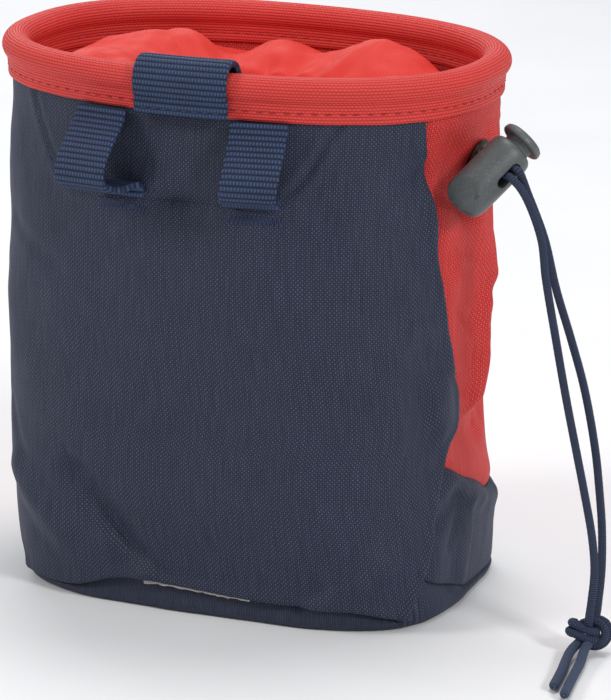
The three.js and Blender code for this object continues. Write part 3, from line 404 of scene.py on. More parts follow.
plastic = buildPlastic()
nickel = buildNickel()
paleStrip = wovenCloth("paleStrip", {
    "pitch": 0.35, "slub": 0.3, "patchScale": 90.0, "colour": rgb(206, 202, 194), "dark": rgb(168, 162, 152),
    "gap": rgb(120, 116, 108), "light": rgb(240, 238, 232), "dots": 0.4, "rough": 0.75, "sheen": 0.1,
    "relief": 0.04})
print("materials made")


# ---- helpers for pieces

def smoothStep(value, low, high):
    share = min(max((value - low) / (high - low), 0), 1)
    return share * share * (3 - 2 * share)


def hump(distance, reach):
    return math.cos(math.pi / 2 * distance / reach) ** 2 if abs(distance) < reach else 0


# Smooth value between two, with the slope at each
def eased(t, a, slopeA, b, slopeB):
    return (a * (2 * t ** 3 - 3 * t ** 2 + 1) + slopeA * (t ** 3 - 2 * t ** 2 + t)
            + b * (3 * t ** 2 - 2 * t ** 3) + slopeB * (t ** 3 - t ** 2))


# Smooth value of one column of a table, its first column being the place
def tableValue(table, at, column=1):
    last = len(table) - 1
    if at <= table[0][0]:
        return table[0][column]
    if at >= table[last][0]:
        return table[last][column]
    row = 0
    while table[row + 1][0] < at:
        row += 1
    a, b = table[row], table[row + 1]
    before, after = table[max(row - 1, 0)], table[min(row + 2, last)]
    span = b[0] - a[0]
    slopeA = 0 if row == 0 else (b[column] - before[column]) / (b[0] - before[0]) * span
    slopeB = 0 if row + 1 == last else (after[column] - a[column]) / (after[0] - a[0]) * span
    return eased((at - a[0]) / span, a[column], slopeA, b[column], slopeB)


# Distances of a list of points from the first, along the line through them
def runOf(points):
    run = [0]
    for a, b in zip(points, points[1:]):
        run.append(run[-1] + (b - a).length)
    return run


# Cell of a run that a distance falls in, and how far into it, as a share
def cellAt(run, target):
    cell = 0
    while cell < len(run) - 2 and run[cell + 1] < target:
        cell += 1
    return cell, (target - run[cell]) / max(run[cell + 1] - run[cell], 1e-9)


def deselectAll():
    for thing in bpy.context.selected_objects:
        thing.select_set(False)


def pick(thing):
    deselectAll()
    thing.select_set(True)
    bpy.context.view_layer.objects.active = thing


def applyModifier(piece, kind, **settings):
    pick(piece)
    modifier = piece.modifiers.new(kind.lower(), kind)
    for key, value in settings.items():
        setattr(modifier, key, value)
    bpy.ops.object.modifier_apply(modifier=modifier.name)


def editWhole(piece):
    pick(piece)
    bpy.ops.object.mode_set(mode="EDIT")
    bpy.ops.mesh.select_mode(type="VERT")
    bpy.ops.mesh.select_all(action="SELECT")


def mergeDoubles(piece):
    editWhole(piece)
    bpy.ops.mesh.remove_doubles(threshold=0.00001)
    bpy.ops.object.mode_set(mode="OBJECT")


def shadeSmooth(piece):
    pick(piece)
    bpy.ops.object.shade_smooth()


def subdivided(piece):
    applyModifier(piece, "SUBSURF", levels=1, render_levels=1)
    shadeSmooth(piece)
    return piece


# A grid laid over a surface: placeAt gives the point and clothAt the place on the cloth, both in mm
def laidGrid(name, columns, rows, placeAt, clothAt, merge=False):
    deselectAll()
    bpy.ops.mesh.primitive_grid_add(x_subdivisions=columns, y_subdivisions=rows, size=2)
    piece = bpy.context.object
    piece.name = name
    mesh = piece.data
    mesh.name = name
    shares = [((v.co.x + 1) / 2, (v.co.y + 1) / 2) for v in mesh.vertices]
    uv = mesh.uv_layers.active or mesh.uv_layers.new()
    uv.name = "cloth"
    places = [clothAt(u, v) for u, v in shares]
    for loop in mesh.loops:
        uv.data[loop.index].uv = places[loop.vertex_index]
    for vertex, (u, v) in zip(mesh.vertices, shares):
        vertex.co = Vector(placeAt(u, v)) * mm
    if merge:
        mergeDoubles(piece)
    shadeSmooth(piece)
    return piece


def finished(piece, material, node, body="bag"):
    piece.data.materials.clear()
    piece.data.materials.append(material)
    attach(piece, body)
    for name in ([node] if isinstance(node, str) else node or []):
        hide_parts(name)
    return piece


def joined(pieces, name):
    pick(pieces[0])
    for piece in pieces[1:]:
        piece.select_set(True)
    bpy.ops.object.join()
    whole = bpy.context.object
    whole.name = name
    whole.data.name = name
    return whole


# Smooth line through a list of points, with as many points as asked for, an equal step apart
def smoothLine(points, count):
    points = [Vector(p) for p in points]
    ends = [points[0] * 2 - points[1]] + points + [points[-1] * 2 - points[-2]]
    fine = []
    for i in range(1, len(ends) - 2):
        p0, p1, p2, p3 = ends[i - 1:i + 3]
        d0, d1, d2 = [max((b - a).length, 1e-6) ** 0.5 for a, b in ((p0, p1), (p1, p2), (p2, p3))]
        m1 = (p1 - p0) / d0 - (p2 - p0) / (d0 + d1) + (p2 - p1) / d1
        m2 = (p2 - p1) / d1 - (p3 - p1) / (d1 + d2) + (p3 - p2) / d2
        m1, m2 = m1 * d1, m2 * d1
        fine += [eased(k / 24, p1, m1, p2, m2) for k in range(24)]
    fine.append(points[-1])
    run = runOf(fine)
    line = []
    for k in range(count):
        cell, share = cellAt(run, run[-1] * k / (count - 1))
        line.append(fine[cell].lerp(fine[cell + 1], share))
    return line, run[-1]


# Round cord along a line, closed at both ends; its strands stand out by the relief
def cordAlong(name, points, diameter, step=0.5, sides=18, relief=0.0, pitch=1.0):
    length = smoothLine(points, 8)[1]
    count = max(int(length / step), 8)
    line, length = smoothLine(points, count + 1)
    tangents = [(line[min(i + 1, count)] - line[max(i - 1, 0)]).normalized() for i in range(count + 1)]
    side = tangents[0].orthogonal().normalized()
    frames = []
    for tangent in tangents:
        side = (side - tangent * side.dot(tangent)).normalized()
        frames.append((side, tangent.cross(side)))
    radius = diameter / 2
    ends = [0.0, 0.62, 0.9]                           # share of the radius in the rings next to an end

    def placeAt(u, v):
        i = min(round(v * count), count)
        turn = 2 * math.pi * u
        near = min(i, count - i)
        scale = ends[near] if near < len(ends) else 1.0
        strand = turn * radius / pitch * math.pi
        braid = relief * abs(math.sin(strand + i * step * 2.3) * math.sin(strand - i * step * 2.3))
        reach = (radius + (braid if near > 2 else 0)) * scale
        a, b = frames[i]
        return line[i] + (a * math.cos(turn) + b * math.sin(turn)) * reach

    def clothAt(u, v):
        return u * math.pi * diameter, v * length

    return laidGrid(name, sides, count, placeAt, clothAt, merge=True), line, length


def onPath(path):
    return [tuple(p * mm) for p in path]


placeCamera()
placeLamps()
bpy.context.scene.view_settings.view_transform = "Standard"

# ---- cord

closureCord = {
    "diameter": 2.0,
    "tailShare": 1.2,               # the tails are thicker, as a share of the diameter
    "apart": 1.25,                  # half the distance between the strands in the eyelet and the lock
    "eyelet": (61.8456, -3.2690, 115.3263),
    "eyeletAxis": (0.99313, -0.09047, -0.07425),
    "eyeletSide": (0.11596, 0.67476, 0.72887),
    "lockHole": (71.5, -15.1, 119.2),
    "lockAlong": (0.513939, 0.577932, 0.633925),
    "lockWay": (0.818813, -0.550828, -0.161658),
    "routeLeft": [
        (79.8, -19.8, 113.8), (84.2, -19.3, 103.0), (85.9, -19.9, 92.9), (89.1, -20.8, 78.2),
        (92.4, -21.8, 63.8), (95.6, -22.7, 51.0), (98.1, -23.5, 41.2), (101.0, -24.7, 29.1),
        (102.2, -26.1, 21.2), (102.2, -27.7, 14.5), (101.8, -28.4, 9.05)],
    "routeRight": [
        (79.5, -16.2, 113.1), (83.9, -15.7, 102.0), (87.3, -16.0, 89.6), (91.5, -16.2, 77.3),
        (95.4, -16.7, 65.2), (98.9, -17.8, 50.5), (100.7, -19.0, 40.0), (102.1, -20.5, 30.4),
        (102.8, -22.2, 20.8), (102.8, -23.9, 14.0), (102.4, -25.0, 8.85)],
    "knot": (101.2, -26.6, 4.6),
    "tailLeft": [(98.8, -32.05, 2.4), (99.2, -37.5, 1.7), (100.6, -45.5, 1.6), (102.2, -56.6, 1.6)],
    "tailRight": [(102.0, -31.95, 2.65), (103.1, -38.5, 1.7), (104.4, -48.0, 1.6), (106.4, -61.0, 1.6)],
}


def strandPoints(side, route):
    c = closureCord
    eyelet, axis, eyeSide = Vector(c["eyelet"]), Vector(c["eyeletAxis"]), Vector(c["eyeletSide"])
    hole, along, way = Vector(c["lockHole"]), Vector(c["lockAlong"]), Vector(c["lockWay"])
    shift = side * c["apart"]
    points = [eyelet + axis * out + eyeSide * shift for out in (-3.5, 0.8, 2.9)]
    points += [hole + way * at + along * shift for at in (-7.8, -5.2, 0, 4.7, 6.9)]
    return points + [Vector(p) for p in route]


# Each loop of the knot, as right, up and towards the camera from its middle
knotLoops = [
    [(-2.4, 1.8, -1.2), (-0.6, 2.7, -0.6), (1.3, 3.0, 0.5), (3.1, 2.2, 1.3), (4.0, 0.5, 1.5),
     (3.6, -1.4, 1.4), (2.1, -2.5, 1.0), (0.3, -2.3, 0.6), (-1.0, -1.4, 0.2)],
    [(-1.6, 1.6, -1.9), (0.4, 3.0, -1.6), (2.6, 3.4, -1.0), (4.6, 2.3, -0.6), (5.2, 0.2, -0.5),
     (4.5, -1.9, -0.6), (2.8, -3.2, -0.8), (0.6, -3.3, -1.1), (-1.0, -2.3, -1.4)],
    [(2.6, 0.9, 0.6), (1.2, 0.4, 1.9), (-0.6, 0.9, 2.2), (-2.6, 1.9, 1.7), (-4.0, 2.5, 0.6),
     (-3.9, 2.7, -0.8), (-2.2, 2.3, -1.6)],
    [(2.4, -1.2, 0.7), (1.0, -1.6, 1.9), (-0.9, -1.2, 2.3), (-2.9, -0.3, 1.9), (-4.6, 0.3, 0.8),
     (-4.6, 0.7, -0.8), (-2.8, 0.5, -1.7), (-1.0, -0.3, -1.8)],
    [(0.8, 2.6, -0.9), (1.6, 1.2, 0.2), (1.9, -0.4, 0.9), (1.2, -1.8, 0.2), (0.2, -2.6, -0.8)],
    [(-1.2, 2.6, -0.2), (0.2, 1.3, 0.6), (0.6, -0.2, 0.9), (0.0, -1.6, 0.4), (-0.6, -2.8, -0.6)],
]


def buildCords():
    c = closureCord
    knot = Vector(c["knot"])
    strands = []
    for name, side, node in (("Left", -1, "cord_strand_left"), ("Right", 1, "cord_strand_right")):
        points = strandPoints(side, c["route" + name]) + [knot + Vector((0.3, 0.2, 2.6))]
        strands.append(cordAlong("strand" + name, points, c["diameter"], relief=0.05))
        finished(strands[-1][0], cordSheath, node)
    loops = []
    right, up = Vector((0.92, 0.392, 0)), Vector((-0.1053, 0.2472, 0.9633))
    near = Vector(shot["towardsCamera"])
    for i, loop in enumerate(knotLoops):
        points = [knot + Vector((0, 0, 0.6)) + right * a + up * b + near * d for a, b, d in loop]
        loops.append(cordAlong("loop%d" % i, points, c["diameter"], step=0.3, relief=0.06)[0])
    whole = finished(joined(loops, "cordKnot"), cordSheath, "cord_knot")
    tails = []
    for name, across, node in (("Left", -0.6, "cord_tail_left"), ("Right", 0.8, "cord_tail_right")):
        points = [knot + Vector((across, 0.6, -0.4))] + c["tail" + name]
        tails.append(cordAlong("tail" + name, points, c["diameter"] * c["tailShare"], relief=0.05))
        finished(tails[-1][0], tailSheath, node)
    return strands, whole, tails


strands, cordKnot, tails = buildCords()
print("cords made", [round(s[2], 1) for s in strands], [round(t[2], 1) for t in tails])


# ---- body of the bag

bag = {
    "mouthWidth": 124.2, "mouthDepth": 91.0, "baseWidth": 116.4, "baseDepth": 82.0, "wall": 2.0,
    "panelTop": 134.5, "rimEntry": 130.3, "bandFoot": 131.8, "rimHeight": 139.5, "rimTube": 7.0,
    "foldFade": 7.0, "leanRight": 0.013, "leanBack": 0.007,
}

# height as a share of the rim's foot; width, depth, corner, across, back
bodySections = [
    (0.00, 1.000, 1.000, 3.65, 0.011, 0.009), (0.075, 1.013, 1.020, 3.65, 0.004, 0.006),
    (0.165, 1.017, 1.034, 3.50, -0.002, 0.002), (0.265, 1.008, 1.037, 3.30, -0.012, 0),
    (0.38, 1.000, 1.034, 3.15, -0.016, 0), (0.47, 1.006, 1.035, 3.00, -0.013, 0),
    (0.68, 1.010, 1.022, 2.70, -0.009, 0), (0.87, 0.998, 1.010, 2.45, -0.005, 0),
    (1.00, 1.000, 1.000, 2.34, 0, 0)]

# height as a share of the panel's top, angle in degrees from the right
rightSeam = [(0.00, -32), (0.03, -30), (0.11, -25.4), (0.16, -22), (0.23, -19.4), (0.31, -15), (0.385, -9.2),
             (0.47, -11.7), (0.56, -16.2), (0.75, -20.5), (0.89, -23.4), (1.05, -25.8)]
leftSeam = [(0.00, -149), (0.11, -155), (0.23, -162), (0.385, -168), (0.56, -166), (0.75, -163), (0.89, -160),
            (1.05, -157.5)]
# angle, height as a share of the panel's top
lowerBandTop = [(-40, 0.33), (-15, 0.307), (-9, 0.282), (-2, 0.252), (5, 0.23), (10, 0.211), (15, 0.19),
                (30, 0.184), (150, 0.184), (167, 0.21), (182, 0.255), (196, 0.31), (220, 0.33)]
baseEdgeFront = [(-152, 0.024), (-138, 0.026), (-130, 0.033), (-123, 0.049), (-118, 0.06), (-108, 0.067),
                 (-88, 0.061), (-69, 0.055), (-50, 0.053), (-41, 0.045), (-32, 0.029), (-26, 0.029)]
baseEdgeSides = [(-32, 0.03), (-30, 0.032), (-25, 0.086), (-18, 0.072), (-9, 0.049), (-4, 0.034), (4, 0.026),
                 (30, 0.026), (60, 0.038), (120, 0.038), (150, 0.03), (180, 0.03), (195, 0.048), (205, 0.05),
                 (212, 0.026)]

# from angle, height to angle, height; breadth and depth in mm, below 0 where the cloth sinks in
folds = [
    (-34, 0.775, -15, 0.70, 8.2, -1.3), (-17, 0.45, -13, 0.38, 7, 2.5), (-24, 0.52, -21, 0.36, 7, -1.6),
    (-146, 0.23, -133, 0.135, 7, 1.8), (-126, 0.25, -111, 0.11, 7, -2.5), (-118, 0.13, -108, 0.08, 5.7, 1.5),
    (-50, 0.05, -36, 0.13, 5.7, 1.5), (-100, 0.84, -86, 0.93, 7, 1.0), (-102, 0.815, -72, 0.84, 4.9, -1.0),
    (-2, 0.76, 5, 0.64, 6.6, 2.8), (4, 0.58, 6, 0.40, 6.2, 2.5), (14, 0.75, 14, 0.55, 7, -2.5),
    (14, 0.50, 18, 0.34, 7, -2.5), (-23, 0.88, -8, 0.80, 5.7, -2.5), (-17, 0.95, -13, 0.87, 7.4, -2.1),
    (6, 0.90, 6, 0.84, 7, 1.5), (-4, 0.36, 10, 0.32, 6.6, -1.8), (-9, 0.255, 6, 0.19, 5.7, 1.8),
    (-18, 0.19, -9, 0.215, 4.1, -1.5), (-3, 0.17, -7, 0.06, 5.7, 1.5),
    (187, 0.74, 178, 0.42, 8.2, 2.0), (168, 0.68, 169, 0.40, 8.2, -2.0), (118, 0.60, 98, 0.42, 11.5, -1.8),
    (66, 0.78, 84, 0.58, 9.8, 1.5), (50, 0.46, 62, 0.30, 8.2, -1.6)]

# Finer creases of the cloth, in the same columns
creases = [
    (-128, 0.30, -112, 0.12, 2.6, -0.7), (-122, 0.16, -110, 0.085, 2.2, 0.6),
    (-108, 0.11, -99, 0.075, 2.4, -0.6), (-56, 0.05, -38, 0.14, 2.4, -0.6),
    (-24, 0.57, -18, 0.50, 2.6, -0.7), (-27, 0.60, -20, 0.575, 2.0, 0.5),
    (-19, 0.43, -15, 0.33, 2.0, 0.8), (-26, 0.345, -20, 0.29, 2.4, -0.6),
    (-152, 0.36, -143, 0.26, 3.0, -0.6), (-150, 0.72, -132, 0.66, 3.4, -0.5),
    (-60, 0.70, -38, 0.62, 4.2, -0.5), (-30, 0.24, -26, 0.12, 2.4, 0.5), (-18, 0.83, 0, 0.76, 2.2, -0.9),
    (-12, 0.70, 2, 0.665, 2.0, 0.6), (-10, 0.60, 3, 0.54, 2.2, -0.8), (-8, 0.56, 4, 0.485, 1.8, 0.6),
    (-12, 0.47, 2, 0.40, 2.2, -0.8), (-6, 0.385, 4, 0.34, 1.8, 0.7), (9, 0.77, 11, 0.69, 2.6, -1.6),
    (11, 0.69, 9.5, 0.60, 2.6, -1.8), (9.5, 0.60, 11, 0.50, 2.6, -1.7), (11, 0.50, 10, 0.41, 2.6, -1.6),
    (10, 0.41, 12, 0.33, 2.4, -1.3), (3, 0.74, 5, 0.66, 3.0, 1.0), (6, 0.64, 3, 0.56, 3.0, 1.1),
    (4, 0.54, 6, 0.46, 3.0, 1.0), (5, 0.44, 3, 0.37, 2.8, 0.9), (-10, 0.245, -3, 0.20, 1.8, -0.8),
    (-15, 0.25, -7, 0.19, 1.6, 0.6), (-13, 0.13, -5, 0.21, 1.8, -0.8), (0, 0.20, -3, 0.09, 1.8, 0.6),
    (22, 0.17, 30, 0.06, 2.6, 0.6), (40, 0.80, 48, 0.62, 3.0, -0.7), (56, 0.86, 70, 0.76, 2.6, -0.6),
    (100, 0.82, 112, 0.70, 3.0, 0.6), (128, 0.50, 120, 0.34, 2.8, -0.7),
    (146, 0.84, 152, 0.66, 2.8, -0.7), (160, 0.34, 176, 0.27, 2.2, -0.8),
    (186, 0.84, 178, 0.76, 2.4, 0.6), (84, 0.30, 100, 0.24, 3.0, 0.5), (150, 0.16, 166, 0.08, 2.4, 0.6),
    (190, 0.24, 180, 0.14, 2.2, -0.8)]

perDegree = math.radians(1) * (bag["baseWidth"] + bag["baseDepth"]) / 4


def pushedOut(table, angle, height):
    total = 0
    for fromAngle, fromHeight, toAngle, toHeight, breadth, out in table:
        across = ((angle - fromAngle + 540) % 360 - 180) * perDegree
        if abs(across) > 80:
            continue
        up = height - fromHeight * bag["panelTop"]
        runX = (toAngle - fromAngle) * perDegree
        runZ = (toHeight - fromHeight) * bag["panelTop"]
        share = min(max((across * runX + up * runZ) / (runX * runX + runZ * runZ), 0), 1)
        distance = math.hypot(across - runX * share, up - runZ * share)
        if distance < breadth:
            total += out * hump(distance, breadth)
    return total


def bodyPoint(angle, height, out=0.0, creased=True):
    share = min(max(height / bag["rimEntry"], 0), 1)
    width, depth, corner, across, back = [tableValue(bodySections, share, k) for k in range(1, 6)]
    halfWidth = (bag["baseWidth"] + (bag["mouthWidth"] + bag["wall"] - bag["baseWidth"]) * share) / 2 * width
    halfDepth = (bag["baseDepth"] + (bag["mouthDepth"] + bag["wall"] - bag["baseDepth"]) * share) / 2 * depth
    c, s = math.cos(math.radians(angle)), math.sin(math.radians(angle))
    size = (abs(c / halfWidth) ** corner + abs(s / halfDepth) ** corner) ** (-1 / corner)
    x, y = c * size, s * size
    nx = math.copysign(abs(x / halfWidth) ** (corner - 1) / halfWidth, x)
    ny = math.copysign(abs(y / halfDepth) ** (corner - 1) / halfDepth, y)
    long = math.hypot(nx, ny)
    if creased:
        loose = 1 - smoothStep(height, bag["rimEntry"] - bag["foldFade"], bag["rimEntry"])
        if loose > 0:
            drift = noise.noise(Vector((x / 16, y / 16, height / 19))) * 0.7
            drift += noise.noise(Vector((x / 6, y / 6 + 9, height / 7))) * 0.22
            out += loose * (pushedOut(folds, angle, height) + pushedOut(creases, angle, height) + drift)
    x += nx / long * out + bag["mouthWidth"] * across
    y += ny / long * out + bag["mouthDepth"] * back
    lean = height / bag["panelTop"] * (bag["leanRight"] * x + bag["leanBack"] * y)
    return Vector((x, y, height - lean))


# Angles that divide a stretch of the outline into equal lengths, and that stretch's length
def equalAngles(fromAngle, toAngle, height, count, fine=90):
    def angleAt(place):
        return fromAngle + (toAngle - fromAngle) * place / fine

    run = runOf([bodyPoint(angleAt(i), height, creased=False) for i in range(fine + 1)])
    cells = [cellAt(run, run[-1] * i / count) for i in range(count + 1)]
    return [angleAt(cell + share) for cell, share in cells], run[-1]


# Columns of a panel between two seams, worked out at a few heights
class panelColumns:
    def __init__(self, leftAt, rightAt, count, levels=16):
        self.count = count
        self.levels = [bag["panelTop"] * 1.02 * k / levels for k in range(levels + 1)]
        self.rows = [equalAngles(leftAt(h), rightAt(h), h, count) for h in self.levels]

    def at(self, height, share):
        place = min(max(height / self.levels[1], 0), len(self.levels) - 1.001)
        low = int(place)
        mix = place - low
        column = min(max(share * self.count, 0), self.count)
        left = min(int(column), self.count - 1)
        part = column - left
        (below, belowLength), (above, aboveLength) = self.rows[low:low + 2]
        angles = [row[left] * (1 - part) + row[left + 1] * part for row in (below, above)]
        return angles[0] * (1 - mix) + angles[1] * mix, belowLength * (1 - mix) + aboveLength * mix

    def edge(self, table, share):
        height = table[0][1] * bag["panelTop"]
        for _ in range(5):
            height = tableValue(table, self.at(height, share)[0]) * bag["panelTop"]
        return height


def seamAt(table, height):
    return tableValue(table, height / bag["panelTop"])


frontColumns = panelColumns(lambda h: seamAt(leftSeam, h), lambda h: seamAt(rightSeam, h), 110)
sideColumns = panelColumns(lambda h: seamAt(rightSeam, h), lambda h: seamAt(leftSeam, h) + 360, 170)

# Seam of the yoke at the top of the wearer's panel, as points (x, z) in mm
yokeSeam = [(-45.0, 134), (-43.2, 127), (-40.0, 120.6), (-37.3, 116.2), (-35.0, 112.8), (-32.0, 110.6),
            (-27, 110.0), (-10, 110.8), (10, 111.0), (22, 110.8), (26.3, 112.6), (29.8, 116.6), (32.2, 120.4),
            (35.8, 126.6), (41, 135)]


def offPath(x, z, path):
    best = (1e9, 0)
    for (ax, az), (bx, bz) in zip(path, path[1:]):
        runX, runZ = bx - ax, bz - az
        share = min(max(((x - ax) * runX + (z - az) * runZ) / (runX * runX + runZ * runZ), 0), 1)
        distance = math.hypot(x - ax - runX * share, z - az - runZ * share)
        if distance < best[0]:
            best = (distance, 1 if (x - ax) * runZ - (z - az) * runX > 0 else -1)
    return best


eyeletSpot = {"place": Vector(closureCord["eyelet"]), "hole": 5.0}


# Panel of the body's cloth. overlap: mm that each edge reaches past its seam; turned: how far it is drawn
# in there, below 0 where it stands proud, and over what reach
def clothPanel(name, look):
    columns, across, overlap = look["columns"], look["across"], look["overlap"]
    bottoms = [columns.edge(look["bottom"], i / across) for i in range(across + 1)]
    tops = [look["top"](i / across) for i in range(across + 1)]

    def places(u, v):
        i = min(round(u * across), across)
        low = bottoms[i] - overlap["bottom"]
        high = tops[i] + overlap["top"]
        height = low + (high - low) * v
        length = columns.at(height, 0.5)[1]
        share = u * (1 + (overlap["left"] + overlap["right"]) / length) - overlap["left"] / length
        inside = min(max(share, 0), 1)
        angle, length = columns.at(height, inside)
        beyond = (share - inside) * length
        return angle + beyond / perDegree * 0.9, height, u * length, low, high, length

    def placeAt(u, v):
        angle, height, along, low, high, length = places(u, v)
        out = 0
        edges = (("left", along), ("right", length - along), ("bottom", height - low), ("top", high - height))
        for edge, distance in edges:
            drawn, reach = look["turned"][edge]
            if drawn < 0:                             # the lip dies away under the rim
                drawn *= 1 - smoothStep(height, 112, 127)
            out -= drawn * math.exp(-(distance / reach) ** 2)
        point = bodyPoint(angle, height, out)
        extra = look["relief"](point, angle, height, length - along)
        return bodyPoint(angle, height, out + extra) if extra else point

    def clothAt(u, v):
        angle, height, along, low, high, length = places(u, v)
        return along - length / 2, height

    piece = laidGrid(name, across, look["up"], placeAt, clothAt)
    if look.get("hole"):
        cutHole(piece, look["hole"])
    applyModifier(piece, "SOLIDIFY", thickness=bag["wall"] * mm, offset=-1, use_even_offset=False)
    return subdivided(piece)


# Round hole in the cloth behind the eyelet, its edge drawn to the circle
def cutHole(piece, radius):
    place = eyeletSpot["place"] * mm
    reach = radius * mm
    pick(piece)
    for vertex in piece.data.vertices:
        away = vertex.co - place
        if away.length < reach + 0.0009 and away.length > reach - 0.0008:
            vertex.co = place + away.normalized() * reach
    bpy.ops.object.mode_set(mode="EDIT")
    bpy.ops.mesh.select_all(action="DESELECT")
    bpy.ops.mesh.select_mode(type="FACE")
    bpy.ops.object.mode_set(mode="OBJECT")
    for face in piece.data.polygons:
        if (face.center - place).length < reach * 0.97:
            face.select = True
    bpy.ops.object.mode_set(mode="EDIT")
    bpy.ops.mesh.delete(type="FACE")
    bpy.ops.object.mode_set(mode="OBJECT")


def backPanelRelief(point, angle, height, rightEdge):
    extra = 0
    if height > 95:                                   # the yoke's seam is above this
        distance, side = offPath(point.x, point.z, yokeSeam)
        extra -= 0.75 * math.exp(-(distance / 0.75) ** 2)
        extra += 0.35 * math.exp(-((distance - 1.9) / 1.0) ** 2)
        if distance < 5:
            extra += 0.16 * math.sin(point.x * 1.9 + point.z * 2.3) * math.exp(-(distance / 2.4) ** 2)
    extra += 0.5 * math.exp(-((rightEdge - 1.4) / 1.0) ** 2)
    return extra


def sideRelief(point, angle, height, rightEdge):
    extra = 0
    below = bag["panelTop"] - height
    if below < 26:                                    # gathers that fan out under the rim
        nearEyelet = hump(((angle + 180) % 360) - 180 + 6, 34)
        strength = math.exp(-((below - 9) / 7.5) ** 2) * (0.45 + 0.55 * nearEyelet)
        wander = noise.noise(Vector((point.x / 10, point.y / 10, height / 22))) * 3.4
        extra += 0.42 * strength * math.sin(height * 2.05 + (angle - 4) * 0.045 + wander)
    return extra


# The band's cloth stands out a little below its seam
def lowerRelief(point, angle, height, rightEdge):
    return 0.7 * hump(tableValue(lowerBandTop, angle) * bag["panelTop"] - height - 4.0, 5.0)


backPanelLook = {
    "columns": frontColumns, "across": 116, "up": 100, "bottom": baseEdgeFront,
    "top": lambda share: bag["panelTop"], "overlap": {"left": 1.0, "right": 1.0, "bottom": 0.8, "top": 0},
    "turned": {"left": (-0.5, 2.2), "right": (-1.2, 2.2), "bottom": (-1.0, 2.4), "top": (0.3, 2)},
    "relief": backPanelRelief,
}
redPanelLook = {
    "columns": sideColumns, "across": 158, "up": 72, "bottom": lowerBandTop,
    "top": lambda share: bag["panelTop"], "overlap": {"left": 0.5, "right": 0.5, "bottom": 0.6, "top": 0},
    "turned": {"left": (1.9, 2.6), "right": (1.6, 2.4), "bottom": (1.2, 2.0), "top": (0.3, 2)},
    "relief": sideRelief, "hole": eyeletSpot["hole"],
}
lowerPanelLook = {
    "columns": sideColumns, "across": 166, "up": 24, "bottom": baseEdgeSides,
    "top": lambda share: sideColumns.edge(lowerBandTop, share),
    "overlap": {"left": 0.5, "right": 0.5, "bottom": 0.3, "top": 0.3},
    "turned": {"left": (3.0, 4.4), "right": (1.8, 2.6), "bottom": (0.3, 1.2), "top": (0.9, 1.4)},
    "relief": lowerRelief,
}
finished(clothPanel("backPanel", backPanelLook), navyCloth, "back_panel")
finished(clothPanel("redPanel", redPanelLook), redCloth, "red_panel")
finished(clothPanel("lowerPanel", lowerPanelLook), navyCloth, "lower_panel")
print("panels made")


def equalShares(columns, table, count):
    heights = [columns.edge(table, i / count) for i in range(count + 1)]
    return [(columns.at(h, i / count)[0], h) for i, h in enumerate(heights)]


# Base: flat up to flatTo, a share of the way from its middle to its top edge, and bent up to bentTo
baseShape = {"round": 2.4, "across": 240, "front": 100, "rows": 40, "tuck": 2.0, "flatTo": 0.45,
             "bentTo": 0.7}


def buildBase():
    shape = baseShape
    fronts = equalShares(frontColumns, baseEdgeFront, shape["front"])
    sides = equalShares(sideColumns, baseEdgeSides, shape["across"] - shape["front"])
    columns = fronts[:-1] + sides[:-1]
    columns.append(columns[0])
    count = len(columns) - 1
    middle = Vector((bag["mouthWidth"] * bodySections[0][4], bag["mouthDepth"] * bodySections[0][5], 0))

    def placeAt(u, v):
        angle, top = columns[min(round(u * count), count)]
        rounding = min(shape["round"], top * 0.75)
        if v < shape["flatTo"]:
            point = middle.lerp(bodyPoint(angle, 0, -shape["round"]), v / shape["flatTo"])
            return (point.x, point.y, 0)
        if v < shape["bentTo"]:
            turn = (v - shape["flatTo"]) / (shape["bentTo"] - shape["flatTo"]) * math.pi / 2
            rise = rounding * (1 - math.cos(turn))
            point = bodyPoint(angle, rise, -shape["round"] * (1 - math.sin(turn)))
            return (point.x, point.y, max(rise, 0))
        share = (v - shape["bentTo"]) / (1 - shape["bentTo"])
        height = rounding + (top + 0.6 - rounding) * share
        return bodyPoint(angle, height, -shape["tuck"] * share ** 1.2)

    def clothAt(u, v):
        place = placeAt(u, v)
        return (place[0], place[1]) if v < 0.5 else (u * 330, 200 + v * 40)

    piece = laidGrid("baseCloth", count, shape["rows"], placeAt, clothAt, merge=True)
    applyModifier(piece, "SOLIDIFY", thickness=bag["wall"] * 0.8 * mm, offset=-1)
    shadeSmooth(piece)
    return piece


finished(buildBase(), navyCloth, "base")
print("base made")


# ---- rim

rim = {
    "bandThick": 1.2, "clear": 0.3, "around": 300, "front": 120, "profile": 60, "pucker": 0.2,
    "puckerPitch": 3.2, "dent": 0.22, "lump": 0.22, "stitchUp": 2.6, "stitchOut": 1.0, "stitchLength": 2.2,
    "stitchGap": 1.1, "stitchThick": 0.55,
}
# The outer band from its foot up, as out from the slot and up from the foot
bandProfile = [(0.1, 0.6), (0.2, 0.1), (0.55, -0.1), (0.85, 0.15), (0.95, 0.9), (0.9, 1.7), (0.8, 2.6),
               (1.0, 3.5)]


# Closed section of the rim as (out, height), over the tube from one band's foot to the other's
def rimSection():
    half = bag["rimTube"] / 2 + 0.1
    slot = bag["wall"] / 2 + 0.1
    band = slot + rim["bandThick"]
    outer = [(slot + out, bag["bandFoot"] + up) for out, up in bandProfile]
    start = math.atan2(-math.sqrt(half ** 2 - band ** 2), band)
    turns = [start + (math.pi - 2 * start) * i / 18 for i in range(19)]
    tube = [(half * math.cos(turn), bag["rimHeight"] + half * math.sin(turn)) for turn in turns]
    inner = [(-out, height) for out, height in reversed(outer)]
    return outer + tube + inner + [(-slot, bag["panelTop"]), (slot, bag["panelTop"])]


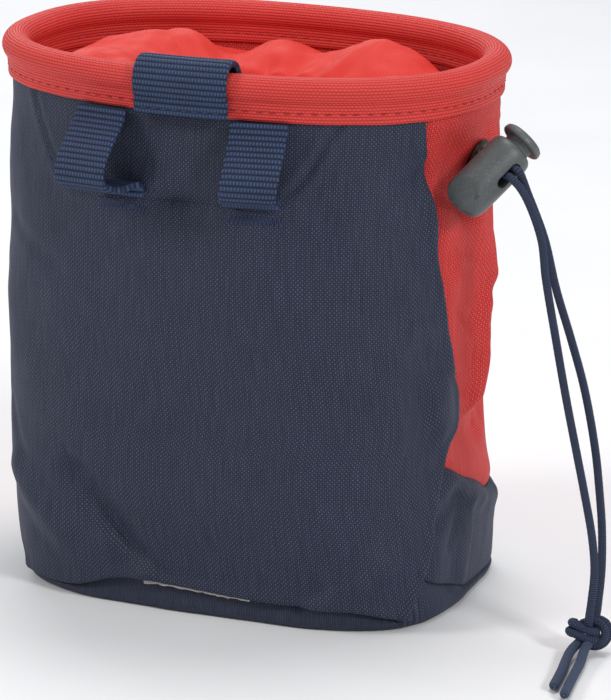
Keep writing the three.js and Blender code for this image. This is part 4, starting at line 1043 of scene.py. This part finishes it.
def buildRim():
    section = rimSection()
    loop = [Vector((a, b, 0)) for a, b in section + section[:1]]
    run = runOf(loop)
    level = [(-360, 1.0), (360, 1.0)]
    fronts = equalShares(frontColumns, level, rim["front"])
    sides = equalShares(sideColumns, level, rim["around"] - rim["front"])
    angles = [a for a, _ in fronts[:-1] + sides[:-1]]
    angles.append(angles[0] + 360)
    middle = -bag["wall"] / 2
    feet = [bodyPoint(a, bag["panelTop"], middle, creased=False) for a in angles]
    ahead = [bodyPoint(a, bag["panelTop"], middle + 1, creased=False) - f for a, f in zip(angles, feet)]
    arc = runOf(feet)
    rows = []
    for j in range(rim["profile"] + 1):
        cell, share = cellAt(run, j / rim["profile"] * run[-1])
        rows.append(loop[cell].lerp(loop[cell + 1], share))

    def placeAt(u, v):
        i = min(round(u * rim["around"]), rim["around"])
        row = rows[min(round(v * rim["profile"]), rim["profile"])]
        out, height, s = row.x, row.y, arc[i]
        up = height - bag["bandFoot"]
        push = low = 0
        if abs(out) > 2:                              # puckers and the stitches' groove, on the bands only
            wave = math.sin(2 * math.pi * s / rim["puckerPitch"] + noise.noise(Vector((s / 7, 0, 4))) * 3)
            pucker = rim["pucker"] * wave * math.exp(-((up - rim["stitchUp"]) / 1.5) ** 2)
            dent = rim["dent"] * math.exp(-((up - rim["stitchUp"]) / 0.5) ** 2)
            push = math.copysign(pucker - dent, out)
        if up > 3:
            lump = rim["lump"] * noise.noise(Vector((feet[i].x / 14, feet[i].y / 14, height / 9)))
            push += lump if out > 0 else -lump
        if up < 2:
            sag = 0.25 * math.sin(s / 27.0) + 0.2 * noise.noise(Vector((s / 11, 3, 0)))
            low = sag * max(0, 1 - up / 2.0)
        point = feet[i] + ahead[i] * (out + push)
        return (point.x, point.y, feet[i].z + height - bag["panelTop"] + low)

    def clothAt(u, v):
        return arc[min(round(u * rim["around"]), rim["around"])], v * run[-1]

    piece = laidGrid("rim", rim["around"], rim["profile"], placeAt, clothAt, merge=True)
    return subdivided(piece), arc, feet, ahead


rimPiece, rimArc, rimFeet, rimAhead = buildRim()
finished(rimPiece, rimCloth, "rim_binding")
print("rim made")


# One stitch, lying along X with its thread arched up
def oneStitch(length, thick):
    deselectAll()
    bpy.ops.mesh.primitive_uv_sphere_add(segments=8, ring_count=6, radius=0.5)
    stitch = bpy.context.object
    for vertex in stitch.data.vertices:
        x, y, z = vertex.co.z, vertex.co.x, vertex.co.y
        vertex.co = Vector((x * length, y * thick, z * thick * 0.8 - 0.35 * thick * (2 * x) ** 2)) * mm
    uv = stitch.data.uv_layers.active
    uv.name = "cloth"
    for loop in uv.data:
        loop.uv = (loop.uv[0] * thick * 3, loop.uv[1] * length)
    shadeSmooth(stitch)
    return stitch


# A row of stitches at places, each (point, along, out) in mm
def stitchRow(name, places, length, thick, material):
    model = oneStitch(length, thick)
    made = []
    for point, along, out in places:
        copy = model.copy()
        copy.data = model.data.copy()
        bpy.context.scene.collection.objects.link(copy)
        x = Vector(along).normalized()
        z = (Vector(out) - x * Vector(out).dot(x)).normalized()
        y = z.cross(x)
        for vertex in copy.data.vertices:
            vertex.co = Vector(point) * mm + x * vertex.co.x + y * vertex.co.y + z * vertex.co.z
        made.append(copy)
    bpy.data.objects.remove(model)
    return finished(joined(made, name), material, None)


def rimStitches(name, side, material):
    places = []
    count = int(rimArc[-1] / (rim["stitchLength"] + rim["stitchGap"]))
    for k in range(count):
        cell, share = cellAt(rimArc, (k + 0.5) * rimArc[-1] / count)
        foot = rimFeet[cell].lerp(rimFeet[cell + 1], share)
        out = rimAhead[cell].normalized() * side
        along = rimFeet[cell + 1] - rimFeet[cell]
        point = foot + out * (bag["wall"] / 2 + rim["stitchOut"])
        point.z = foot.z + bag["bandFoot"] + rim["stitchUp"] - bag["panelTop"]
        places.append((point, along + Vector((0, 0, 0.12 * (-1) ** k)), out))
    return stitchRow(name, places, rim["stitchLength"], rim["stitchThick"], material)


rimStitches("rimStitchOutside", 1, darkRedThread)
rimStitches("rimStitchInside", -1, redThread)
print("rim stitched")


# ---- closure

closure = {
    "holeWidth": 40, "holeDepth": 24, "puff": 8, "throat": 26, "wall": 1.0, "around": 200, "rows": 56,
}
# inward share, rise: share of the puff's height above the band, below 0 of the throat's depth
closurePath = [(0.00, 0.00, -0.02), (0.125, 0.10, 0.00), (0.25, 0.24, 0.72), (0.375, 0.42, 1.00),
               (0.5, 0.60, 0.86), (0.625, 0.78, 0.36), (0.75, 0.92, -0.10), (0.875, 1.00, -0.50),
               (1.0, 1.00, -1.00)]
closurePuffs = [(-180, 0.70), (-155, 0.95), (-130, 0.35), (-105, 0.75), (-80, 0.40), (-58, 1.05),
                (-30, 0.55), (-8, 0.90), (20, 0.25), (50, 1.15), (78, 0.45), (100, 0.70), (118, 0.15),
                (140, 0.95), (180, 0.70)]


def closurePoint(angle, place):
    inward, rise = tableValue(closurePath, place, 1), tableValue(closurePath, place, 2)
    edge = bag["wall"] / 2 + rim["clear"] + rim["bandThick"] / 2
    wall = bodyPoint(angle, bag["panelTop"], -bag["wall"] / 2 - edge - 0.2, creased=False)
    turn = math.radians(angle)
    hem = Vector((closure["holeWidth"] / 2 * math.cos(turn), closure["holeDepth"] / 2 * math.sin(turn), wall.z))
    point = wall.lerp(hem, inward)
    puff = tableValue(closurePuffs, angle)
    height = rise * puff * closure["puff"] if rise > 0 else rise * closure["throat"]
    gather = smoothStep(place, 0.35, 0.85)
    pleats = math.sin(turn * 17 + noise.noise(Vector((math.cos(turn) * 2, math.sin(turn) * 2, 0))) * 6)
    crease = noise.noise(Vector((point.x / 9, point.y / 9, 1))) * 1.3
    crease += noise.noise(Vector((point.x / 4, point.y / 4, 5))) * 0.5
    wrinkle = 0.9 * pleats * gather + crease * smoothStep(place, 0.02, 0.2)
    height += wrinkle * (1 - 0.6 * smoothStep(place, 0.8, 1))
    if place > 0.7:
        point += (hem - Vector((0, 0, wall.z))).normalized() * pleats * 0.5 * smoothStep(place, 0.7, 0.9)
    top = bag["bandFoot"] - rim["clear"] - 1.68
    return Vector((point.x, point.y, top + wall.z - bag["panelTop"] + height))


def buildClosure():
    piece = laidGrid("closure", closure["around"], closure["rows"],
                     lambda u, v: closurePoint(-180 + 360 * u, v), lambda u, v: (u * 250, v * 75), merge=True)
    applyModifier(piece, "SOLIDIFY", thickness=closure["wall"] * mm, offset=0)
    return subdivided(piece)


closurePiece = finished(buildClosure(), collarCloth, "closure_collar")
print("closure made")


# ---- webbing

webbingCloth = {"thick": 1.5, "rib": 1.5, "ribDepth": 0.16}


# Strap laid along a middle line, each row (point, side) in mm; edges are rounded and ribs stand across it
def strap(name, line, width, columns=24):
    run = runOf([point for point, _ in line])
    rows = int(run[-1] / 0.3)
    kept = []
    for j in range(rows + 1):
        cell, share = cellAt(run, j / rows * run[-1])
        side = line[cell][1].lerp(line[cell + 1][1], share).normalized()
        along = (line[cell + 1][0] - line[cell][0]).normalized()
        kept.append((line[cell][0].lerp(line[cell + 1][0], share), side, side.cross(along).normalized()))

    def placeAt(u, v):
        point, side, out = kept[min(round(v * rows), rows)]
        rib = webbingCloth["ribDepth"] * abs(math.sin(math.pi * v * run[-1] / webbingCloth["rib"]))
        lower = 0.35 * math.exp(-(min(u, 1 - u) * width / 0.6) ** 2)
        return point + side * width * (u - 0.5) + out * (rib - lower)

    piece = laidGrid(name, columns, rows, placeAt, lambda u, v: (u * width, v * run[-1]))
    applyModifier(piece, "SOLIDIFY", thickness=webbingCloth["thick"] * mm, offset=-1)
    applyModifier(piece, "BEVEL", width=0.35 * mm, segments=2, limit_method="ANGLE",
                  angle_limit=math.radians(50))
    shadeSmooth(piece)
    return piece


# rimBack: how far behind the bag's middle the rim is there; bend: how fast it curves away on either side
rimTab = {
    "width": 25, "across": 1.1, "outsideDrop": 4.0, "insideDrop": 3.6, "slack": 1.3, "rimBack": 47,
    "bend": 0.0027,
}


def buildTab():
    half = bag["rimTube"] / 2
    face = bag["wall"] / 2 + 2 * rim["clear"] + rim["bandThick"] + webbingCloth["thick"]
    radius = half + rim["clear"] + webbingCloth["thick"]
    foot = bag["rimHeight"] - half
    start = math.atan2(-math.sqrt(radius ** 2 - face ** 2), face)
    section = [(face, foot - rimTab["outsideDrop"]), (face + 0.1, foot - rimTab["outsideDrop"] / 2)]
    for i in range(25):
        turn = start + (math.pi - 2 * start) * i / 24
        section.append((radius * math.cos(turn), bag["rimHeight"] + (radius + rimTab["slack"]) * math.sin(turn)))
    section.append((-face, foot - rimTab["insideDrop"]))
    angle = math.degrees(math.atan2(-rimTab["rimBack"], rimTab["across"]))
    foot = bodyPoint(angle, bag["panelTop"], -bag["wall"] / 2, creased=False)
    ahead = (bodyPoint(angle, bag["panelTop"], 0, creased=False) - foot).normalized()
    flat = Vector((ahead.x, ahead.y, 0)).normalized()
    side = Vector((-flat.y, flat.x, 0))
    line = []
    for p in smoothLine([(o, h, 0) for o, h in section], 90)[0]:
        line.append((foot + flat * p.x + Vector((0, 0, p.y - bag["panelTop"])), side))
    piece = strap("rimTab", line, rimTab["width"])
    for vertex in piece.data.vertices:
        vertex.co.y += (vertex.co.x / mm - rimTab["across"]) ** 2 * rimTab["bend"] * mm
    return piece


finished(buildTab(), webbing, "rim_tab")

beltLoops = {
    "width": 14.5, "length": 21.5, "slack": 0.4, "clear": 0.3, "top": 131.6,
    # name, node, across, skew, reach
    "loops": [("beltLoopLeft", "belt_loop_left", -21.5, 5.5, 11.2),
              ("beltLoopRight", "belt_loop_right", 21.45, -1.6, 8.4)],
}
# along, out, across, as shares of the loop's length, reach and skew
loopPath = [(0.00, 0.00, 0.00), (0.12, 0.13, 0.02), (0.30, 0.46, 0.06), (0.48, 0.78, 0.10), (0.64, 0.97, 0.16),
            (0.76, 1.00, 0.25), (0.84, 0.84, 0.42), (0.865, 0.58, 0.62), (0.845, 0.30, 0.82), (0.85, 0.10,
                                                                                               0.95),
            (0.90, 0.00, 1.00), (1.00, 0.00, 1.00)]


def buildBeltLoop(name, node, across, skew, reach):
    line = []
    depth = (bag["mouthDepth"] + bag["wall"]) / 2
    for along, out, sideways in loopPath:
        angle = math.degrees(math.atan2(-depth, across + sideways * skew))
        height = beltLoops["top"] - along * beltLoops["length"]
        ahead = bodyPoint(angle + 1, height, creased=False) - bodyPoint(angle - 1, height, creased=False)
        away = webbingCloth["thick"] / 2 + beltLoops["clear"] + beltLoops["slack"] + out * reach
        line.append((bodyPoint(angle, height, away), Vector((ahead.x, ahead.y, 0)).normalized()))
    line.reverse()
    points, _ = smoothLine([p for p, _ in line], 120)
    sides, _ = smoothLine([s + Vector((0, 0, 0.02 * k)) for k, (_, s) in enumerate(line)], 120)
    outer = []
    for k, (p, s) in enumerate(zip(points, sides)):
        flat = Vector((s.x, s.y, 0)).normalized()
        along = (points[min(k + 1, len(points) - 1)] - points[max(k - 1, 0)]).normalized()
        outer.append((p + flat.cross(along).normalized() * webbingCloth["thick"] / 2, flat))
    return finished(strap(name, outer, beltLoops["width"]), webbing, node)


for settings in beltLoops["loops"]:
    buildBeltLoop(*settings)
print("webbing made")


# ---- thread

# Point of the wearer's side at a place across and a height, and the angle that it has
def frontPoint(across, height, out):
    angle = math.degrees(math.atan2(-44, across))
    for _ in range(6):
        here = bodyPoint(angle, height, out)
        beside = bodyPoint(angle + 0.5, height, out)
        angle += max(min((across - here.x) / max(beside.x - here.x, 0.05) * 0.5, 6), -6)
    return bodyPoint(angle, height, out), angle


def outwards(angle, height):
    near, far = [bodyPoint(angle, height, out, creased=False) for out in (0, 1)]
    return (far - near).normalized()


thread = {
    "length": 1.9, "yokeOff": 1.9, "yokeStep": 3.1, "yokeThick": 0.42, "yokeTop": 129.5, "tackStep": 0.5,
    "tackThick": 0.38, "tackOut": 0.15, "tabCount": 8, "tabSpan": 22, "tabThick": 0.45, "tabOut": 3.55,
    "tabHeight": 133.9,
}


def yokeStitches():
    middle = Vector((0, 126, 0))
    path = [Vector((x, z, 0)) for x, z in yokeSeam]
    moved = []
    for i, p in enumerate(path):
        along = (path[min(i + 1, len(path) - 1)] - path[max(i - 1, 0)]).normalized()
        away = Vector((along.y, -along.x, 0))
        if away.dot(p - middle) < 0:
            away = -away
        moved.append(p + away * thread["yokeOff"])
    count = int(smoothLine(moved, 8)[1] / thread["yokeStep"])
    line, _ = smoothLine(moved, count * 2 + 1)
    places = []
    for a, b in zip(line[::2], line[1::2]):
        start, angle = frontPoint(a.x, a.y, 0.1)
        end, _ = frontPoint(b.x, b.y, 0.1)
        if start.z < thread["yokeTop"]:
            places.append(((start + end) / 2, end - start, outwards(angle, a.y)))
    return stitchRow("yokeStitches", places, thread["length"], thread["yokeThick"], blueThread)


# Zigzag that holds the foot of a belt loop
def tackStitches(name, middle, width, low, high):
    places, count = [], int(width / thread["tackStep"])
    for k in range(count):
        ends = (low, high) if k % 2 == 0 else (high, low)
        start, angle = frontPoint(middle - width / 2 + width * k / count, ends[0], thread["tackOut"])
        end, _ = frontPoint(middle - width / 2 + width * (k + 1) / count, ends[1], thread["tackOut"])
        places.append(((start + end) / 2, end - start, outwards(angle, low)))
    return stitchRow(name, places, (high - low) * 1.08, thread["tackThick"], blueThread)


yokeStitches()
tackStitches("tackLeft", -16.0, 13.6, 105.6, 108.6)
tackStitches("tackRight", 19.4, 14.4, 105.4, 108.4)


def tabStitches():
    places = []
    for k in range(thread["tabCount"]):
        a = rimTab["across"] - thread["tabSpan"] / 2 + thread["tabSpan"] * (k + 0.15) / thread["tabCount"]
        ends = []
        for x in (a, a + thread["length"]):
            angle = math.degrees(math.atan2(-rimTab["rimBack"], x))
            ends.append(bodyPoint(angle, bag["panelTop"], thread["tabOut"], creased=False))
        point = (ends[0] + ends[1]) / 2
        point.z = thread["tabHeight"]
        places.append((point, ends[1] - ends[0], Vector((0, -1, 0.05))))
    return stitchRow("tabStitches", places, thread["length"], thread["tabThick"], blueThread)


tabStitches()
print("thread made")


# ---- pale strip under the wearer's panel

strip = {"width": 29, "across": 1.5, "height": 1.35, "thick": 0.5, "tucked": 1.0, "back": 42.5, "lowest": 2.6}


def buildStrip():
    def placeAt(u, v):
        x = strip["across"] + (u - 0.5) * strip["width"]
        angle = math.degrees(math.atan2(-strip["back"], x))
        edge = tableValue(baseEdgeFront, angle) * bag["panelTop"]
        ragged = 0.3 * noise.noise(Vector((x / 2.2, 3, 0))) + 0.2 * noise.noise(Vector((x / 0.7, 9, 0)))
        tall = strip["height"] + strip["tucked"] + (ragged - 0.012 * x if v > 0.5 else 0)
        height = edge + strip["tucked"] - tall * v
        out = -1.1 + 0.9 * v + 0.1 * noise.noise(Vector((x / 3, v, 0)))
        return frontPoint(x, max(height, strip["lowest"]), out)[0]

    piece = laidGrid("paleStrip", 90, 8, placeAt, lambda u, v: (u * strip["width"], v * strip["height"]))
    applyModifier(piece, "SOLIDIFY", thickness=strip["thick"] * mm, offset=-1)
    shadeSmooth(piece)
    return piece


finished(buildStrip(), paleStrip, "label_tab")


# ---- eyelet and cord lock

# Turned piece, grown ring by ring up the Z axis from (radius, height) in mm; a radius of 0 closes it
def turnedPiece(name, profile, sides, closed=False):
    deselectAll()
    radius, height = profile[0]
    bpy.ops.mesh.primitive_circle_add(vertices=sides, radius=max(radius, 0.4) * mm, location=(0, 0, 0))
    piece = bpy.context.object
    piece.name = name
    piece.data.name = name
    editWhole(piece)
    bpy.ops.transform.translate(value=(0, 0, height * mm))
    if radius == 0:
        bpy.ops.mesh.extrude_region_move()
        bpy.ops.mesh.merge(type="CENTER")
        bpy.ops.mesh.select_all(action="DESELECT")
        bpy.ops.object.mode_set(mode="OBJECT")
        for vertex in piece.data.vertices:
            vertex.select = math.hypot(vertex.co.x, vertex.co.y) > 0.0002
        bpy.ops.object.mode_set(mode="EDIT")
        radius = 0.4
    last = (radius, height)
    for radius, height in profile[1:]:
        grow = max(radius, 0.0001) / max(last[0], 0.0001)
        bpy.ops.mesh.extrude_region_move()
        bpy.ops.transform.resize(value=(grow, grow, 1), center_override=(0, 0, last[1] * mm))
        bpy.ops.transform.translate(value=(0, 0, (height - last[1]) * mm))
        last = (radius, height)
    if last[0] == 0:
        bpy.ops.mesh.merge(type="CENTER")
    bpy.ops.mesh.select_all(action="SELECT")
    bpy.ops.mesh.remove_doubles(threshold=0.000001)
    bpy.ops.mesh.normals_make_consistent(inside=False)
    bpy.ops.object.mode_set(mode="OBJECT")
    return piece


def placeBy(piece, x, y, z, place):
    matrix = Matrix((x, y, z)).transposed().to_4x4()
    matrix.translation = Vector(place) * mm
    pick(piece)
    piece.matrix_world = matrix
    bpy.ops.object.transform_apply(location=True, rotation=True, scale=True)


eyeletShape = {
    "sides": 64,
    # radius, out from the cloth's outer face
    "profile": [(3.2, -2.6), (3.5, -3.1), (5.2, -3.1), (5.4, -2.8), (5.2, -2.35), (3.9, -2.3), (3.9, 0.3),
                (6.7, 0.3), (7.0, 0.45), (7.05, 0.75), (6.8, 1.1), (6.2, 1.38), (5.4, 1.5), (4.6, 1.42),
                (3.9, 1.15), (3.4, 0.75), (3.2, 0.3), (3.2, -2.6)],
}
eyeletPiece = turnedPiece("eyeletRing", eyeletShape["profile"], eyeletShape["sides"])
axis = Vector(closureCord["eyeletAxis"]).normalized()
sideways = axis.orthogonal().normalized()
placeBy(eyeletPiece, sideways, axis.cross(sideways), axis, closureCord["eyelet"])
pick(eyeletPiece)
bpy.ops.object.shade_smooth_by_angle(angle=math.radians(50))
finished(eyeletPiece, nickel, "eyelet")

cordLock = {
    "sides": 64, "holeAlong": 14.8, "holeWidth": 3.0, "holeLength": 7.6, "holeLow": 1.1, "travel": 1.5,
    # radius, along from the barrel's closed end
    "barrel": [(0, 0), (1.8, 0.05), (3.2, 0.3), (4.4, 0.95), (5.1, 1.8), (5.5, 2.9), (5.68, 4.3), (5.7, 8),
               (5.7, 17.6), (5.62, 18.7), (5.35, 19.6), (4.85, 20.2), (4.3, 20.45), (3.95, 20.4), (3.9, 20.1),
               (3.9, 5.7), (3.5, 5.4), (0, 5.4)],
    "button": [(0, 7.9), (3.2, 7.9), (3.6, 8.3), (3.6, 21.8), (3.7, 22.2), (4.6, 22.25), (5.3, 22.3),
               (5.6, 22.6), (5.62, 23.2), (5.4, 23.9), (4.8, 24.35), (3.6, 24.6), (1.6, 24.65), (0, 24.65)],
    "facetTilt": 52, "facetDepth": -0.4, "facetSoft": 0.55,
}


# Oblong cutter for the cord's way through the lock
def oblongCutter(width, length, middle):
    deselectAll()
    bpy.ops.mesh.primitive_cube_add(size=1, location=(0, 0, 0))
    cutter = bpy.context.object
    bpy.ops.object.mode_set(mode="EDIT")
    bpy.ops.mesh.select_all(action="SELECT")
    bpy.ops.transform.resize(value=(20 * mm, width * mm, length * mm), center_override=(0, 0, 0))
    bpy.ops.transform.translate(value=(0, 0, middle * mm))
    bpy.ops.mesh.select_all(action="DESELECT")
    bpy.ops.object.mode_set(mode="OBJECT")
    for edge in cutter.data.edges:
        a, b = [cutter.data.vertices[i].co for i in edge.vertices]
        edge.select = abs(a.x - b.x) > 10 * mm
    bpy.ops.object.mode_set(mode="EDIT")
    bpy.ops.mesh.select_mode(type="EDGE")
    bpy.ops.mesh.bevel(offset=width / 2 * 0.98 * mm, segments=8)
    bpy.ops.object.mode_set(mode="OBJECT")
    return cutter


def cutWith(piece, cutter):
    applyModifier(piece, "BOOLEAN", object=cutter, operation="DIFFERENCE", solver="EXACT")
    bpy.data.objects.remove(cutter)


def buildLock():
    look = cordLock
    along = Vector(closureCord["lockAlong"]).normalized()
    way = Vector(closureCord["lockWay"]).normalized()
    side = along.cross(way)
    foot = Vector(closureCord["lockHole"]) - along * look["holeAlong"]

    barrel = turnedPiece("lockBarrel", look["barrel"], look["sides"])
    near = Vector(shot["towardsCamera"]).normalized()
    facing = near * 0.62 + Vector((-0.70, 0, 0.71)) * 0.35
    facing = (facing - along * facing.dot(along)).normalized()
    local = Vector((facing.dot(way), facing.dot(side), 0)).normalized()
    tilt = math.radians(look["facetTilt"])
    normal = local * math.sin(tilt) - Vector((0, 0, math.cos(tilt)))
    editWhole(barrel)
    bpy.ops.mesh.bisect(plane_co=(0, 0, look["facetDepth"] * mm), plane_no=normal, use_fill=True,
                        clear_outer=True)
    bpy.ops.mesh.select_mode(type="EDGE")
    bpy.ops.mesh.bevel(offset=look["facetSoft"] * mm, segments=3)
    bpy.ops.object.mode_set(mode="OBJECT")
    cutWith(barrel, oblongCutter(look["holeWidth"], look["holeLength"], look["holeAlong"] - look["holeLow"]))
    applyModifier(barrel, "BEVEL", width=0.22 * mm, segments=2, limit_method="ANGLE",
                  angle_limit=math.radians(55))
    placeBy(barrel, way, side, along, foot)
    bpy.ops.object.shade_smooth_by_angle(angle=math.radians(38))

    button = turnedPiece("lockButton", look["button"], look["sides"])
    slotMiddle = look["holeAlong"] - look["holeLow"] + look["travel"] / 2
    cutWith(button, oblongCutter(look["holeWidth"], look["holeLength"] + look["travel"], slotMiddle))
    placeBy(button, way, side, along, foot)
    bpy.ops.object.shade_smooth_by_angle(angle=math.radians(38))
    return (finished(barrel, plastic, "cord_lock_barrel"),
            finished(button, plastic, "cord_lock_button", body="plunger"))


lockBarrel, lockButton = buildLock()
print("eyelet and lock made")


# ---- floor

def buildFloor():
    deselectAll()
    bpy.ops.mesh.primitive_plane_add(size=14, location=(0, 0, 0))
    floor = bpy.context.object
    floor.name = "floor"
    material, tree, shader = startMaterial("paleFloor")
    patches = useGroup(tree, patchGroup, {"Place": solidPlace(tree), "Scale": 9.0, "Specks": 0.2})
    tree.links.new(blended(tree, patches.outputs["Value"], rgb(236, 237, 239), rgb(242, 243, 245)),
                   shader.inputs["Base Color"])
    shader.inputs["Roughness"].default_value = 0.85
    floor.data.materials.append(material)
    return floor


buildFloor()

# ---- path points of the cord's strands and tails, in metres

for index, (piece, line, length) in enumerate(strands):
    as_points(onPath(line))
for piece, line, length in tails:
    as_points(onPath(line))
